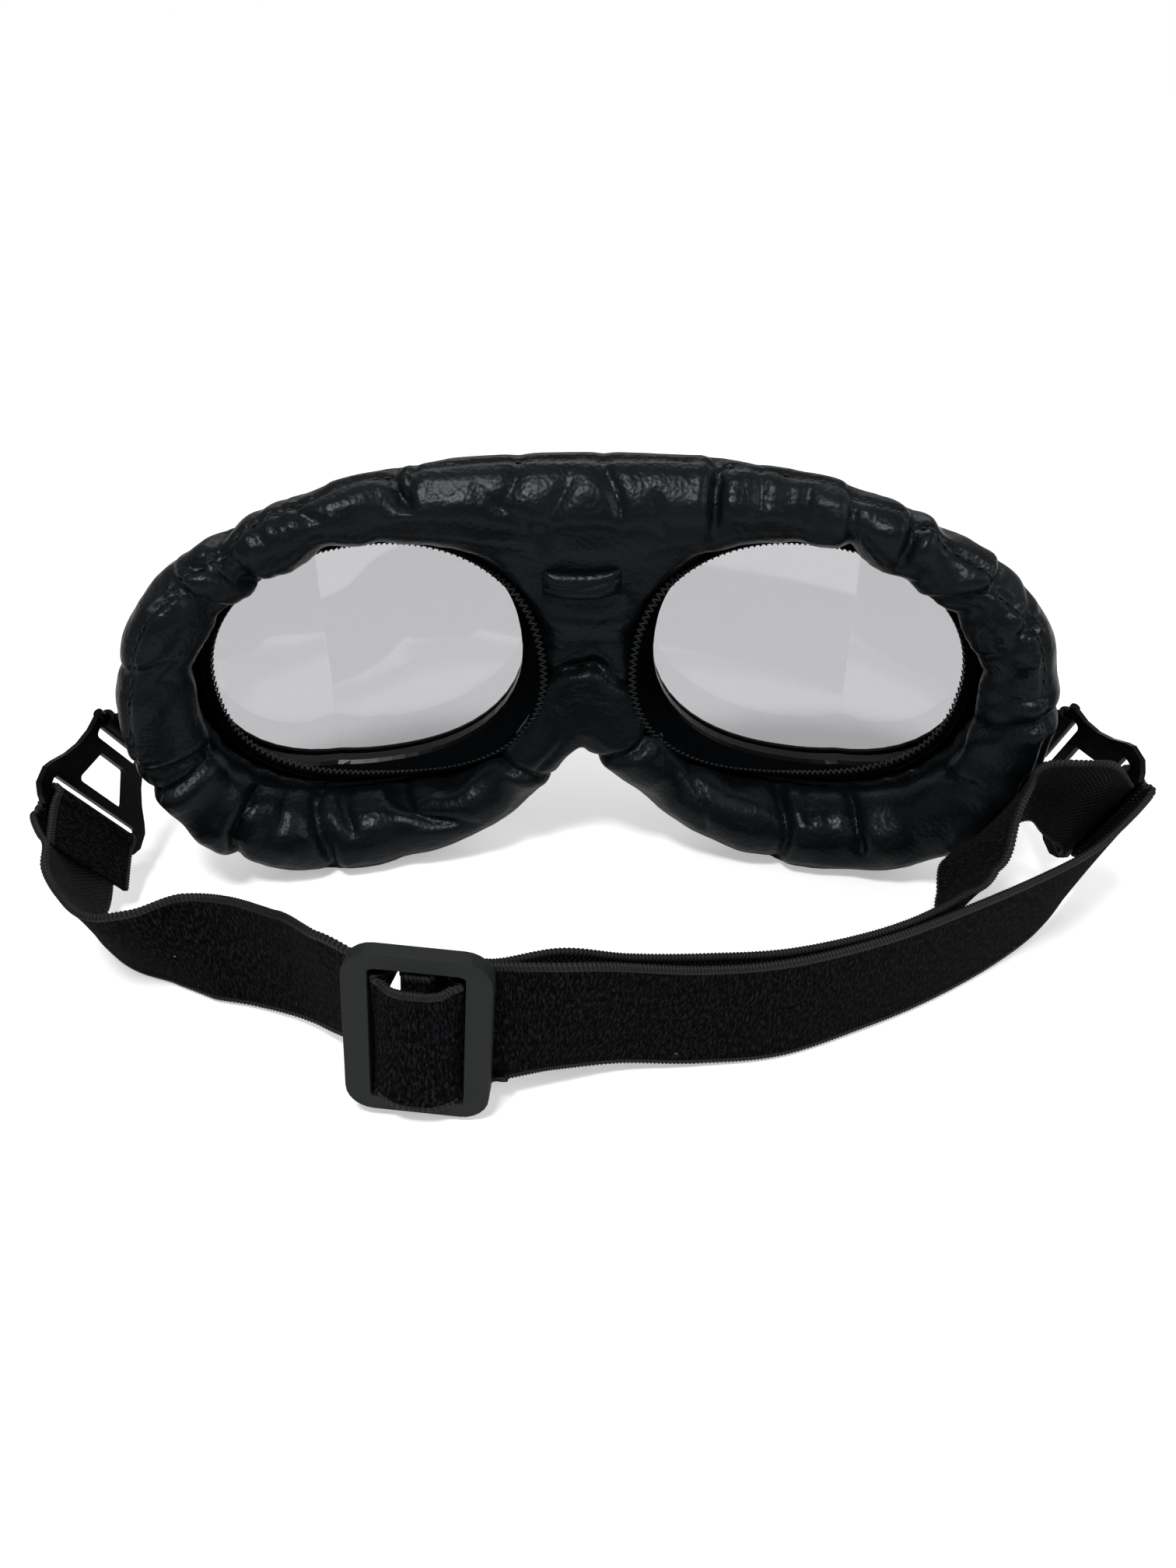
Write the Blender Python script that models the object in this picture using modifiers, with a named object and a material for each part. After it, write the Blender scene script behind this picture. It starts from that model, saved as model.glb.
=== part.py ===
"""Padded riding goggles that stand on the bottoms of their two cups, with the strap behind them.

+X is to the wearer's right, +Y is forward, out of the lenses, and +Z is up.
The origin lies on the table, at the middle of the whole part's width and depth.
Places are measured from the point between both cup bottoms, and one empty carries everything.
Each half is built for +X, and the left one is its mirror image.
"""

import math

import bmesh
import bpy
from mathutils import Matrix, Vector

MM = 0.001

# Driving dimensions
GAP = 0.3 * MM
OVERRUN = 2.0 * MM
MERGE = 0.01 * MM
CUPS_FORWARD = 22.4 * MM
STRAP_WIDTH = 25.0 * MM
STRAP_THICKNESS = 1.2 * MM

# Face cushion, a stuffed roll round both eyes
HALF_WIDTH = 85.6 * MM
HEIGHT = 84.4 * MM
ROLL_REAR = 9.4 * MM
ROLL_FRONT = 6.6 * MM
GATHER_DEPTH = 1.7 * MM
OPENING_X = 41.0 * MM
OPENING_Z = 43.5 * MM
OPENING_HALF_WIDTH = 32.5 * MM
OPENING_HALF_HEIGHT = 26.0 * MM
EYE_TILT = math.radians(7.0)
OVAL_POWER = 2.3
TOP_ROLL_HALF = 8.4 * MM
TOP_ROLL_MIDDLE = HEIGHT - TOP_ROLL_HALF
NOTCH_ROLL_MIDDLE = 30.5 * MM
OUTLINE_SHARES = (
    (0.0, 0.289), (0.058, 0.237), (0.157, 0.127), (0.302, 0.041), (0.442, 0.003),
    (0.581, -0.006), (0.709, 0.014), (0.843, 0.093), (0.924, 0.181), (0.969, 0.301),
    (0.999, 0.434), (0.994, 0.571), (0.957, 0.706), (0.872, 0.81), (0.721, 0.897),
    (0.547, 0.949), (0.384, 0.976), (0.186, 0.993), (0.0, 1.0),
)
# Each row is a share of the way from the opening to the outline, and of the depth behind or in front.
ROLL_SECTION_SHARES = (
    (0.0, 0.84), (-0.05, 0.0), (0.03, -0.53), (0.2, -0.87), (0.46, -1.0), (0.72, -0.83),
    (0.9, -0.42), (1.0, 0.1), (0.99, 0.84), (0.76, 1.0), (0.5, 1.0), (0.25, 1.0),
)
CROWN_ROW = 4
FRONT_ROW = 10
GATHER_ANGLES = (100.0, 80.0, 56.0, 36.0, 12.0, -19.0, -33.0, -52.0, -73.0, -96.0, -134.0)
RING_STEP_ANGLE = 6.6
NOSE_PAD_SHARES = (0.92, 0.68, 0.55, 0.62, 0.84)

# How the cushion bends round the face
NOSE_FORWARD = 6.0 * MM
WRAP_SAG = 6.0 * MM
WRAP_AT = 52.0 * MM
WRAP_POWER = 2.3

# Lenses, frames and rims
LENS_X = 45.6 * MM
LENS_Z = 42.0 * MM
LENS_HALF_WIDTH = 32.0 * MM
LENS_HALF_HEIGHT = 25.5 * MM
LENS_LAP = 2.8 * MM
LENS_THICKNESS = 1.6 * MM
FRONT_AT_NOSE = 25.0 * MM
FRONT_PANE_TURN = math.radians(5.0)
SIDE_PANE_TURN = math.radians(24.0)
BEND_X = 54.0 * MM
FRAME_LIP = 1.0 * MM
FRAME_WALL = 1.2 * MM
FRAME_DEPTH = 7.0 * MM
RIM_WIDTH = 3.3 * MM
RIM_LIP = 1.1 * MM
EYE_STEPS = 56

# Side walls, linings and the band on the nose pad
LINING_THICKNESS = 1.0 * MM
LINING_INSET = 0.2 * MM
WALL_INSET = 0.9 * MM
WALL_STEPS = 48
BAND_HEIGHT = 7.0 * MM
BAND_THICKNESS = 1.0 * MM
BAND_DROP = 12.6 * MM
BAND_Z = TOP_ROLL_MIDDLE - BAND_DROP
BAND_SEAT = 0.6 * MM
BAND_BULGE = 0.6 * MM
BAND_LEAN = math.radians(13.0)
BAND_SECTION_SHARES = (
    (0.0, -0.5), (0.0, 0.5), (-0.8, 0.5), (-1.0, 0.25), (-1.0, -0.25), (-0.8, -0.5),
)
BAND_WIDTH_SHARES = (-1.0, -0.8, -0.45, 0.0, 0.45, 0.8, 1.0)

# Nose bridge and its rivets
BRIDGE_THICKNESS = 1.2 * MM
BRIDGE_Z = 49.0 * MM
BRIDGE_WAIST = 7.0 * MM
BRIDGE_END = 11.0 * MM
BRIDGE_LAP = 4.2 * MM
BRIDGE_HALF_BOW_SHARES = (
    (0.2, 0.08), (0.4, 0.33), (0.62, 0.78), (0.8, 1.0), (0.94, 0.62), (1.0, -0.1),
)
BRIDGE_BOW_SHARES = (
    *((-place, swell) for place, swell in reversed(BRIDGE_HALF_BOW_SHARES)),
    (0.0, 0.0),
    *BRIDGE_HALF_BOW_SHARES,
)
RIVET_RADIUS = 0.7 * MM
RIVET_HEAD = 1.5 * MM
RIVET_HEAD_HEIGHT = 0.7 * MM

# Hinges and strap brackets; the left hinge is bent down a little more than the right one
HINGE_OUT = 8.6 * MM
HINGE_X = HALF_WIDTH + HINGE_OUT
HINGE_Y = 2.9 * MM
HINGE_Z = 30.0 * MM
BRACKET_WAY = Vector((0.19, -0.899, -0.395))
HINGE_WAY = Vector((-0.215, 0.355, -0.91))
LEFT_DROOP = math.radians(9.0)
RIGHT_DROOP = math.radians(-1.0)
END_BAR_RADIUS = 1.0 * MM
LUG_RADIUS = 2.1 * MM
LUG_WIDTH = 11.6 * MM
PLATE = 1.2 * MM
BRACKET_LENGTH = 21.8 * MM
BRACKET_WIDTH = 31.6 * MM
BRACKET_NECK = 16.4 * MM
FLANK_SHARES = ((0.0, 0.0), (0.2, 0.06), (0.45, 0.24), (0.66, 0.5), (0.86, 0.84), (0.97, 0.98))
STRAP_BAR = 2.9 * MM
STRAP_SLOT = 2.9 * MM
STRAP_SLOT_PLAY = 1.4 * MM
INNER_BAR = 2.0 * MM
FIRST_BAR = 2.3 * MM
WINDOW_NARROW = 7.8 * MM
WINDOW_WIDE = 14.6 * MM
HINGE_SLOT = 3.4 * MM
HINGE_SLOT_PLAY = 1.8 * MM
SLOT_CORNER = 0.8 * MM
LUG_ROOT_ANGLE = math.radians(-13.0)

# Slider
SLIDER_X = -26.5 * MM
SLIDER_Y = -68.4 * MM
SLIDER_Z = 17.5 * MM
SLIDER_WAY = Vector((0.995, -0.07, -0.07))
SLIDER_UP = Vector((0.08, 0.03, 0.99))
SLIDER_WIDTH = 23.2 * MM
SLIDER_RAIL = 2.8 * MM
SLIDER_SIDE = 4.1 * MM
SLIDER_DEPTH = 3.0 * MM
SLIDER_CORNER = 4.6 * MM
SLIDER_BEVEL = 0.5 * MM
SLIDER_PLAY = 0.8 * MM
CENTRE_BAR_WIDTH = 2.6 * MM
CENTRE_BAR_DEPTH = 1.0 * MM
WEAVE_SHARES = ((0.64, 0.42), (0.42, 0.84), (0.26, 0.97))
LOOP_ENTRY_SHARES = (0.85, 0.5)

# The strap's way over the table
STRAP_OUT = 5.8 * MM
LIFT_DROP = 5.0 * MM
STRAP_SPAN = HINGE_X + STRAP_OUT
STRAP_LIFT = HINGE_Z - LIFT_DROP
STRAP_REACH = 70.0 * MM
STRAP_PITCH = 2.4 * MM
TAIL_LENGTH = 12.0 * MM
TAIL_DROP = 2.4 * MM


def part_collection(name):
    collection = bpy.data.collections.new(name)
    bpy.context.scene.collection.children.link(collection)
    return collection


def clear_scene():
    for old in list(bpy.data.objects):
        bpy.data.objects.remove(old)


clear_scene()
PARTS = part_collection("padded_goggles")
CUTTERS = part_collection("cutters")
ROOT = bpy.data.objects.new("goggles", None)
ROOT.location.y = CUPS_FORWARD
PARTS.objects.link(ROOT)


def material(name, colour, roughness, metallic=0.0, alpha=1.0):
    made = bpy.data.materials.new(name)
    made.use_nodes = True
    shader = made.node_tree.nodes["Principled BSDF"]
    shader.inputs["Base Color"].default_value = (*colour, 1.0)
    shader.inputs["Roughness"].default_value = roughness
    shader.inputs["Metallic"].default_value = metallic
    shader.inputs["Alpha"].default_value = alpha
    made.diffuse_color = (*colour, alpha)
    return made


LEATHERETTE = material("black leatherette", (0.012, 0.013, 0.016), 0.48)
LINING_CLOTH = material("coated lining cloth", (0.010, 0.010, 0.011), 0.6)
BLACK_METAL = material("black painted steel", (0.008, 0.008, 0.009), 0.3, 0.3)
BLACK_ALLOY = material("black painted alloy", (0.009, 0.009, 0.010), 0.3, 0.3)
GLOSS_PLASTIC = material("gloss black plastic", (0.006, 0.006, 0.007), 0.15)
GREY_PLASTIC = material("dark grey moulded plastic", (0.028, 0.029, 0.029), 0.6)
CLEAR_LENS = material("clear polycarbonate", (0.75, 0.75, 0.76), 0.05, 0.0, 0.3)
ELASTIC = material("black plush elastic", (0.006, 0.006, 0.007), 0.9)


def add_object(name, mesh, surface=None, collection=PARTS):
    made = bpy.data.objects.new(name, mesh)
    collection.objects.link(made)
    made.parent = ROOT
    if surface is not None:
        mesh.materials.append(surface)
    return made


def add_part(name, shape, surface, smooth_angle=35.0):
    """A bmesh becomes a named part, with its faces pointing out and its round faces smooth."""
    bmesh.ops.recalc_face_normals(shape, faces=shape.faces)
    mesh = bpy.data.meshes.new(name)
    shape.to_mesh(mesh)
    shape.free()
    mesh.shade_smooth()
    mesh.set_sharp_from_angle(angle=math.radians(smooth_angle))
    return add_object(name, mesh, surface)


def add_cutter(name, shape):
    bmesh.ops.recalc_face_normals(shape, faces=shape.faces)
    mesh = bpy.data.meshes.new(name)
    shape.to_mesh(mesh)
    shape.free()
    made = add_object(name, mesh, collection=CUTTERS)
    made.hide_render = True
    made.display_type = "WIRE"
    return made


def boolean(target, other, operation):
    step = target.modifiers.new(other.name, "BOOLEAN")
    step.operation = operation
    step.solver = "EXACT"
    step.object = other


def loft(rings, closed_path=True, closed_section=True):
    """Faces between neighbouring rings of points; an open path gets a cap on each end."""
    shape = bmesh.new()
    rows = [[shape.verts.new(point) for point in ring] for ring in rings]
    pairs = list(zip(rows, rows[1:]))
    if closed_path:
        pairs.append((rows[-1], rows[0]))
    for first, second in pairs:
        count = len(first)
        last = count if closed_section else count - 1
        for j in range(last):
            k = (j + 1) % count
            shape.faces.new((first[j], first[k], second[k], second[j]))
    if not closed_path and closed_section:
        shape.faces.new(rows[0])
        shape.faces.new(list(reversed(rows[-1])))
    return shape


def mirrored(point, side):
    return Vector((point[0] * side, point[1], point[2]))


def side_name(side):
    return "right" if side > 0 else "left"


def wrap(x):
    """How far forward the middle of the cushion lies at this distance from the nose."""
    return NOSE_FORWARD - WRAP_SAG * (abs(x) / WRAP_AT) ** WRAP_POWER


def front(x):
    """The front plane of a frame, bent where the side pane starts."""
    first = min(x, BEND_X)
    rest = max(x - BEND_X, 0.0)
    return FRONT_AT_NOSE - math.tan(FRONT_PANE_TURN) * first - math.tan(SIDE_PANE_TURN) * rest


def oval_reach(angle, half_width, half_height):
    """Distance from an eye's centre to its oval, which droops towards the temple."""
    turned = angle + EYE_TILT
    across = (abs(math.cos(turned)) / half_width) ** OVAL_POWER
    up = (abs(math.sin(turned)) / half_height) ** OVAL_POWER
    return (across + up) ** (-1.0 / OVAL_POWER)


def opening_point(angle, grow=0.0):
    reach = oval_reach(angle, OPENING_HALF_WIDTH + grow, OPENING_HALF_HEIGHT + grow)
    return OPENING_X + reach * math.cos(angle), OPENING_Z + reach * math.sin(angle)


def lens_point(angle, grow=0.0):
    reach = oval_reach(angle, LENS_HALF_WIDTH + grow, LENS_HALF_HEIGHT + grow)
    return LENS_X + reach * math.cos(angle), LENS_Z + reach * math.sin(angle)


def smooth_span(corners, steps):
    """Points on a smooth curve from the second corner towards the third."""
    found = []
    for k in range(steps):
        t = k / steps
        found.append(tuple(
            (2 * b + (c - a) * t + (2 * a - 5 * b + 4 * c - d) * t * t
             + (3 * b - a - 3 * c + d) * t ** 3) / 2
            for a, b, c, d in zip(*corners)
        ))
    return found


def smooth_points(points, steps):
    """A curve through the points, with this many steps from each to the next."""
    found = []
    for i in range(len(points) - 1):
        corners = points[max(i - 1, 0)], points[i], points[i + 1], points[min(i + 2, len(points) - 1)]
        found += smooth_span(corners, steps)
    found.append(tuple(points[-1]))
    return found


OUTLINE = smooth_points([(x * HALF_WIDTH, z * HEIGHT) for x, z in OUTLINE_SHARES], 6)


def outline_point(angle, inset=0.0, nose=0.0):
    """Where the ray from the eye's centre meets the outline, or the plane beside the nose."""
    way = (math.cos(angle), math.sin(angle))
    closed = OUTLINE + [OUTLINE[0]]
    reach = 0.0
    for (x0, z0), (x1, z1) in zip(closed, closed[1:]):
        run = (x1 - x0, z1 - z0)
        cross = way[0] * run[1] - way[1] * run[0]
        if cross == 0.0:
            continue
        offset = (x0 - OPENING_X, z0 - OPENING_Z)
        along = (offset[0] * run[1] - offset[1] * run[0]) / cross
        share = (offset[0] * way[1] - offset[1] * way[0]) / cross
        if along > reach and -1e-9 <= share <= 1.0 + 1e-9:
            reach = along
    reach -= inset
    if way[0] < 0.0:
        reach = min(reach, (OPENING_X - nose) / -way[0])
    return OPENING_X + reach * way[0], OPENING_Z + reach * way[1]


TOP_CORNER = math.atan2(HEIGHT - OPENING_Z, -OPENING_X)
NOTCH_HEIGHT = OUTLINE_SHARES[0][1] * HEIGHT
NOTCH_CORNER = math.atan2(NOTCH_HEIGHT - OPENING_Z, -OPENING_X)


def roll_angles():
    """Angles round the eye from the top corner to the notch, each with its share of a gather."""
    marks = [math.degrees(TOP_CORNER), *GATHER_ANGLES, math.degrees(NOTCH_CORNER)]
    found = []
    for start, end in zip(marks, marks[1:]):
        steps = max(2, round((start - end) / RING_STEP_ANGLE))
        for k in range(steps):
            gathered = 1.0 if k == 0 and start in GATHER_ANGLES else 0.0
            found.append((math.radians(start + (end - start) * k / steps), gathered))
    return found[1:]


def roll_point(inner, outer, share, depth, gathered=0.0, fullness=1.0):
    x = inner[0] + share * (outer[0] - inner[0])
    z = inner[1] + share * (outer[1] - inner[1])
    reach = ROLL_FRONT if depth > 0.0 else ROLL_REAR * fullness
    y = wrap(x) + depth * reach
    if gathered and depth < 0.5:
        across = Vector((outer[0] - inner[0], outer[1] - inner[1])).normalized()
        pull = gathered * GATHER_DEPTH
        x -= across.x * pull * (share - 0.5)
        z -= across.y * pull * (share - 0.5)
        y -= pull * depth
    return Vector((x, y, z))


def corner_ring(angle, middle, outer_height):
    """The section on the nose plane: half of it leads to the opening, half lies on the plane."""
    inner = opening_point(angle)
    centre = (0.0, middle)
    outer = (0.0, outer_height)
    ring = []
    for row, (share, depth) in enumerate(ROLL_SECTION_SHARES):
        if CROWN_ROW <= row <= FRONT_ROW:
            ring.append(roll_point(centre, outer, share * 2 - 1, depth))
        else:
            ring.append(roll_point(inner, centre, share * 2, depth))
    return ring


def pad_angles():
    """Angles of the pad's sections, from the notch up to the top corner, and how full each is."""
    full_turn = 2 * math.pi
    count = len(NOSE_PAD_SHARES)
    found = []
    for k, fullness in enumerate(reversed(NOSE_PAD_SHARES)):
        turn = (k + 1) / (count + 1)
        found.append((NOTCH_CORNER + turn * (TOP_CORNER - full_turn - NOTCH_CORNER), fullness))
    return found


def pad_ring(angle, fullness):
    """A section of the pad between the eyes, from the opening to the nose plane."""
    inner = opening_point(angle)
    centre = outline_point(angle)
    ring = []
    crown = roll_point(inner, centre, 1.0, -1.0, fullness=fullness)
    forward = roll_point(inner, centre, 1.0, 1.0)
    for row, (share, depth) in enumerate(ROLL_SECTION_SHARES):
        if CROWN_ROW <= row <= FRONT_ROW:
            ring.append(crown.lerp(forward, (row - CROWN_ROW) / (FRONT_ROW - CROWN_ROW)))
        else:
            ring.append(roll_point(inner, centre, share * 2, depth, fullness=fullness))
    return ring


def face_cushion():
    rings = [corner_ring(TOP_CORNER, TOP_ROLL_MIDDLE, HEIGHT)]
    for angle, gathered in roll_angles():
        inner = opening_point(angle)
        outer = outline_point(angle)
        rings.append([
            roll_point(inner, outer, share, depth, gathered)
            for share, depth in ROLL_SECTION_SHARES
        ])
    rings.append(corner_ring(NOTCH_CORNER, NOTCH_ROLL_MIDDLE, NOTCH_HEIGHT))
    for angle, fullness in pad_angles():
        rings.append(pad_ring(angle, fullness))
    shape = loft(rings)
    flat = [face for face in shape.faces if all(abs(v.co.x) < MERGE for v in face.verts)]
    bmesh.ops.delete(shape, geom=flat, context="FACES")
    loose = [vert for vert in shape.verts if not vert.link_faces]
    bmesh.ops.delete(shape, geom=loose, context="VERTS")
    bmesh.ops.mirror(shape, geom=shape.verts[:] + shape.edges[:] + shape.faces[:],
                     axis="X", merge_dist=MERGE)
    cut = bmesh.ops.bisect_plane(shape, geom=shape.verts[:] + shape.edges[:] + shape.faces[:],
                                 plane_co=(0, 0, 0), plane_no=(0, 0, 1), clear_inner=True)
    rim = [item for item in cut["geom_cut"] if isinstance(item, bmesh.types.BMEdge)]
    bmesh.ops.holes_fill(shape, edges=rim)
    return add_part("face_cushion", shape, LEATHERETTE, 70.0)


def wall_ring(angle):
    """A section of the foam-backed wall, from the roll's front to the frame's rear edge."""
    outer_x, outer_z = outline_point(angle, WALL_INSET, GAP / 2)
    inner_x, inner_z = opening_point(angle, LINING_THICKNESS + GAP)
    rear = ROLL_FRONT + GAP
    frame_grow = RIM_WIDTH + GAP + FRAME_WALL
    front_out = lens_point(angle, frame_grow)
    front_in = lens_point(angle, LINING_INSET + LINING_THICKNESS + GAP)
    seat = FRAME_DEPTH + GAP
    return [
        Vector((inner_x, wrap(inner_x) + rear, inner_z)),
        Vector((outer_x, wrap(outer_x) + rear, outer_z)),
        Vector((front_out[0], front(front_out[0]) - seat, front_out[1])),
        Vector((front_in[0], front(front_in[0]) - seat, front_in[1])),
    ]


def side_wall(side):
    angles = [2 * math.pi * k / WALL_STEPS for k in range(WALL_STEPS)]
    rings = [[mirrored(point, side) for point in wall_ring(angle)] for angle in angles]
    return add_part("side_wall_" + side_name(side), loft(rings), LEATHERETTE, 50.0)


def lining(side):
    """The thin strip that lines a cup from the roll's inner seam to the rim."""
    rings = []
    for k in range(WALL_STEPS):
        angle = 2 * math.pi * k / WALL_STEPS
        ring = []
        for grow in (0.0, LINING_THICKNESS):
            x, z = opening_point(angle, grow)
            ring.append(Vector((x, wrap(x) + ROLL_FRONT + GAP, z)))
        for grow in (LINING_THICKNESS, 0.0):
            x, z = lens_point(angle, grow + LINING_INSET)
            ring.append(Vector((x, front(x) - FRAME_DEPTH - GAP, z)))
        rings.append([mirrored(point, side) for point in ring])
    return add_part("lining_" + side_name(side), loft(rings), LINING_CLOTH, 50.0)


def eye_angles():
    """Even angles round a lens, with two more where the bend crosses its outline."""
    angles = [2 * math.pi * k / EYE_STEPS for k in range(EYE_STEPS)]
    step = 2 * math.pi / EYE_STEPS
    for way in (1.0, -1.0):
        low = 0.0
        high = math.pi * way
        for _ in range(40):
            middle = (low + high) / 2
            if lens_point(middle)[0] > BEND_X:
                low = middle
            else:
                high = middle
        bend = low % (2 * math.pi)
        nearest = min(range(len(angles)), key=lambda i: abs(angles[i] - bend))
        if abs(angles[nearest] - bend) < step:
            angles[nearest] = bend
    return sorted(angles)


def swept_ring(section, side):
    """A constant section carried round the lens; section rows are (outward, behind the front)."""
    rings = []
    for angle in eye_angles():
        ring = []
        for grow, behind in section:
            x, z = lens_point(angle, grow)
            ring.append(mirrored((x, front(x) - behind, z), side))
        rings.append(ring)
    return loft(rings)


def hinge_matrix(side):
    """Turns hinge coordinates (along the bracket, along its axis, outward) into world ones."""
    axis = HINGE_WAY.normalized()
    along = (BRACKET_WAY - axis * BRACKET_WAY.dot(axis)).normalized()
    out = along.cross(axis)
    matrix = Matrix((
        (along.x, axis.x, out.x, HINGE_X),
        (along.y, axis.y, out.y, HINGE_Y),
        (along.z, axis.z, out.z, HINGE_Z),
        (0, 0, 0, 1),
    ))
    matrix = matrix @ Matrix.Rotation(RIGHT_DROOP if side > 0 else LEFT_DROOP, 4, "Z")
    if side > 0:
        return matrix
    return Matrix.Scale(-1, 4, (1, 0, 0)) @ matrix @ Matrix.Scale(-1, 4, (0, 1, 0))


def cylinder(radius, length, segments=24):
    """A cylinder about the hinge's line in hinge coordinates, centred on the hinge."""
    shape = bmesh.new()
    bmesh.ops.create_cone(shape, cap_ends=True, segments=segments, radius1=radius,
                          radius2=radius, depth=length)
    bmesh.ops.rotate(shape, verts=shape.verts, matrix=Matrix.Rotation(math.pi / 2, 3, "X"))
    return shape


def moved(shape, matrix):
    bmesh.ops.transform(shape, matrix=matrix, verts=shape.verts)
    return shape


def lens(side):
    """A flat oval blank, scored at the bend and folded back at the temple."""
    outline = [lens_point(angle, LENS_LAP) for angle in eye_angles()]
    shape = bmesh.new()
    face = shape.faces.new([shape.verts.new((x, 0.0, z)) for x, z in outline])
    made = bmesh.ops.extrude_face_region(shape, geom=[face])
    new = [item for item in made["geom"] if isinstance(item, bmesh.types.BMVert)]
    bmesh.ops.translate(shape, verts=new, vec=(0, -LENS_THICKNESS, 0))
    bmesh.ops.bisect_plane(shape, geom=shape.verts[:] + shape.edges[:] + shape.faces[:],
                           plane_co=(BEND_X, 0, 0), plane_no=(1, 0, 0))
    for vert in shape.verts:
        vert.co.y += front(vert.co.x) - FRAME_LIP - GAP
        vert.co.x *= side
    return add_part("lens_" + side_name(side), shape, CLEAR_LENS)


def inner_rim(side):
    """The gloss rim that holds the lens against the frame's lip."""
    start = FRAME_LIP + GAP + LENS_THICKNESS + GAP
    section = (
        (0.0, start), (0.0, FRAME_DEPTH - RIM_LIP), (RIM_LIP, FRAME_DEPTH),
        (RIM_WIDTH, FRAME_DEPTH), (RIM_WIDTH, start),
    )
    return add_part("inner_rim_" + side_name(side), swept_ring(section, side), GLOSS_PLASTIC)


def lug_shape(side):
    """A plate from the frame's temple side to the loop round the bracket's end bar."""
    matrix = hinge_matrix(side)
    x, z = lens_point(LUG_ROOT_ANGLE, RIM_WIDTH + GAP + FRAME_WALL / 2)
    root = matrix.inverted() @ mirrored((x, front(x) - FRAME_DEPTH / 2, z), side)
    way = Vector((root.x, 0.0, root.z)).normalized()
    cross = Vector((-way.z, 0.0, way.x)) * PLATE / 2
    rings = []
    half = LUG_WIDTH / 2 - GAP
    for share in (0.0, 1.0):
        centre = root * share
        ring = []
        for sign, edge in ((1, -1), (1, 1), (-1, 1), (-1, -1)):
            ring.append(centre + cross * sign + Vector((0, half * edge, 0)))
        rings.append(ring)
    return moved(loft(rings, closed_path=False), matrix)


def frame(side):
    """The front frame: a lip over the lens, a side wall, and a lug rolled into a loop."""
    name = side_name(side)
    inner = RIM_WIDTH + GAP
    outer = inner + FRAME_WALL
    section = (
        (0.0, FRAME_LIP), (0.0, 0.0), (outer, 0.0), (outer, FRAME_DEPTH),
        (inner, FRAME_DEPTH), (inner, FRAME_LIP),
    )
    body = add_part("frame_" + name, swept_ring(section, side), BLACK_ALLOY)
    matrix = hinge_matrix(side)
    boolean(body, add_cutter("lug_" + name, lug_shape(side)), "UNION")
    loop = moved(cylinder(LUG_RADIUS, LUG_WIDTH), matrix)
    boolean(body, add_cutter("lug_loop_" + name, loop), "UNION")
    bore = moved(cylinder(END_BAR_RADIUS + GAP, LUG_WIDTH + OVERRUN), matrix)
    boolean(body, add_cutter("lug_bore_" + name, bore), "DIFFERENCE")
    boolean(body, rivet_cutter(side, "frame"), "DIFFERENCE")
    return body


def rounded(corners, radius, steps=4):
    """A closed outline with each corner replaced by an arc that meets both its edges."""
    found = []
    count = len(corners)
    for i in range(count):
        here = Vector(corners[i])
        to_last = (Vector(corners[i - 1]) - here).normalized()
        to_next = (Vector(corners[(i + 1) % count]) - here).normalized()
        half = to_last.angle(to_next) / 2
        if half > math.radians(85):
            found.append(here)
            continue
        back = radius / math.tan(half)
        centre = here + (to_last + to_next).normalized() * radius / math.sin(half)
        start = here + to_last * back - centre
        end = here + to_next * back - centre
        for k in range(steps + 1):
            found.append(centre + start.slerp(end, k / steps).normalized() * radius)
    return found


def flat_outline(name, loops, thickness):
    """A 2D curve, filled between its loops and extruded about its plane, as a mesh in a bmesh."""
    curve = bpy.data.curves.new(name, "CURVE")
    curve.dimensions = "2D"
    curve.fill_mode = "BOTH"
    curve.extrude = thickness / 2
    for loop in loops:
        spline = curve.splines.new("POLY")
        spline.points.add(len(loop) - 1)
        for point, place in zip(spline.points, loop):
            point.co = (place[0], place[1], 0.0, 1.0)
        spline.use_cyclic_u = True
    holder = add_object(name, curve, collection=CUTTERS)
    bpy.context.view_layer.update()
    graph = bpy.context.evaluated_depsgraph_get()
    mesh = bpy.data.meshes.new_from_object(holder.evaluated_get(graph))
    bpy.data.objects.remove(holder)
    shape = bmesh.new()
    shape.from_mesh(mesh)
    bpy.data.meshes.remove(mesh)
    bmesh.ops.remove_doubles(shape, verts=shape.verts, dist=MERGE)
    return shape


def bracket_outline():
    """The bracket's edge: a neck at the hinge, concave flanks, and a wide end for the strap."""
    neck = BRACKET_NECK / 2
    wide = BRACKET_WIDTH / 2
    slot_end = BRACKET_LENGTH - STRAP_BAR
    tip = slot_end - STRAP_SLOT
    upper = [(0.0, neck)]
    upper += [(END_BAR_RADIUS + a * (tip - END_BAR_RADIUS), neck + b * (wide - neck))
              for a, b in FLANK_SHARES]
    upper += [(slot_end, wide), (BRACKET_LENGTH - STRAP_BAR / 3, wide - STRAP_BAR / 2),
              (BRACKET_LENGTH, wide - STRAP_BAR)]
    return upper + [(a, -b) for a, b in reversed(upper)]


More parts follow.
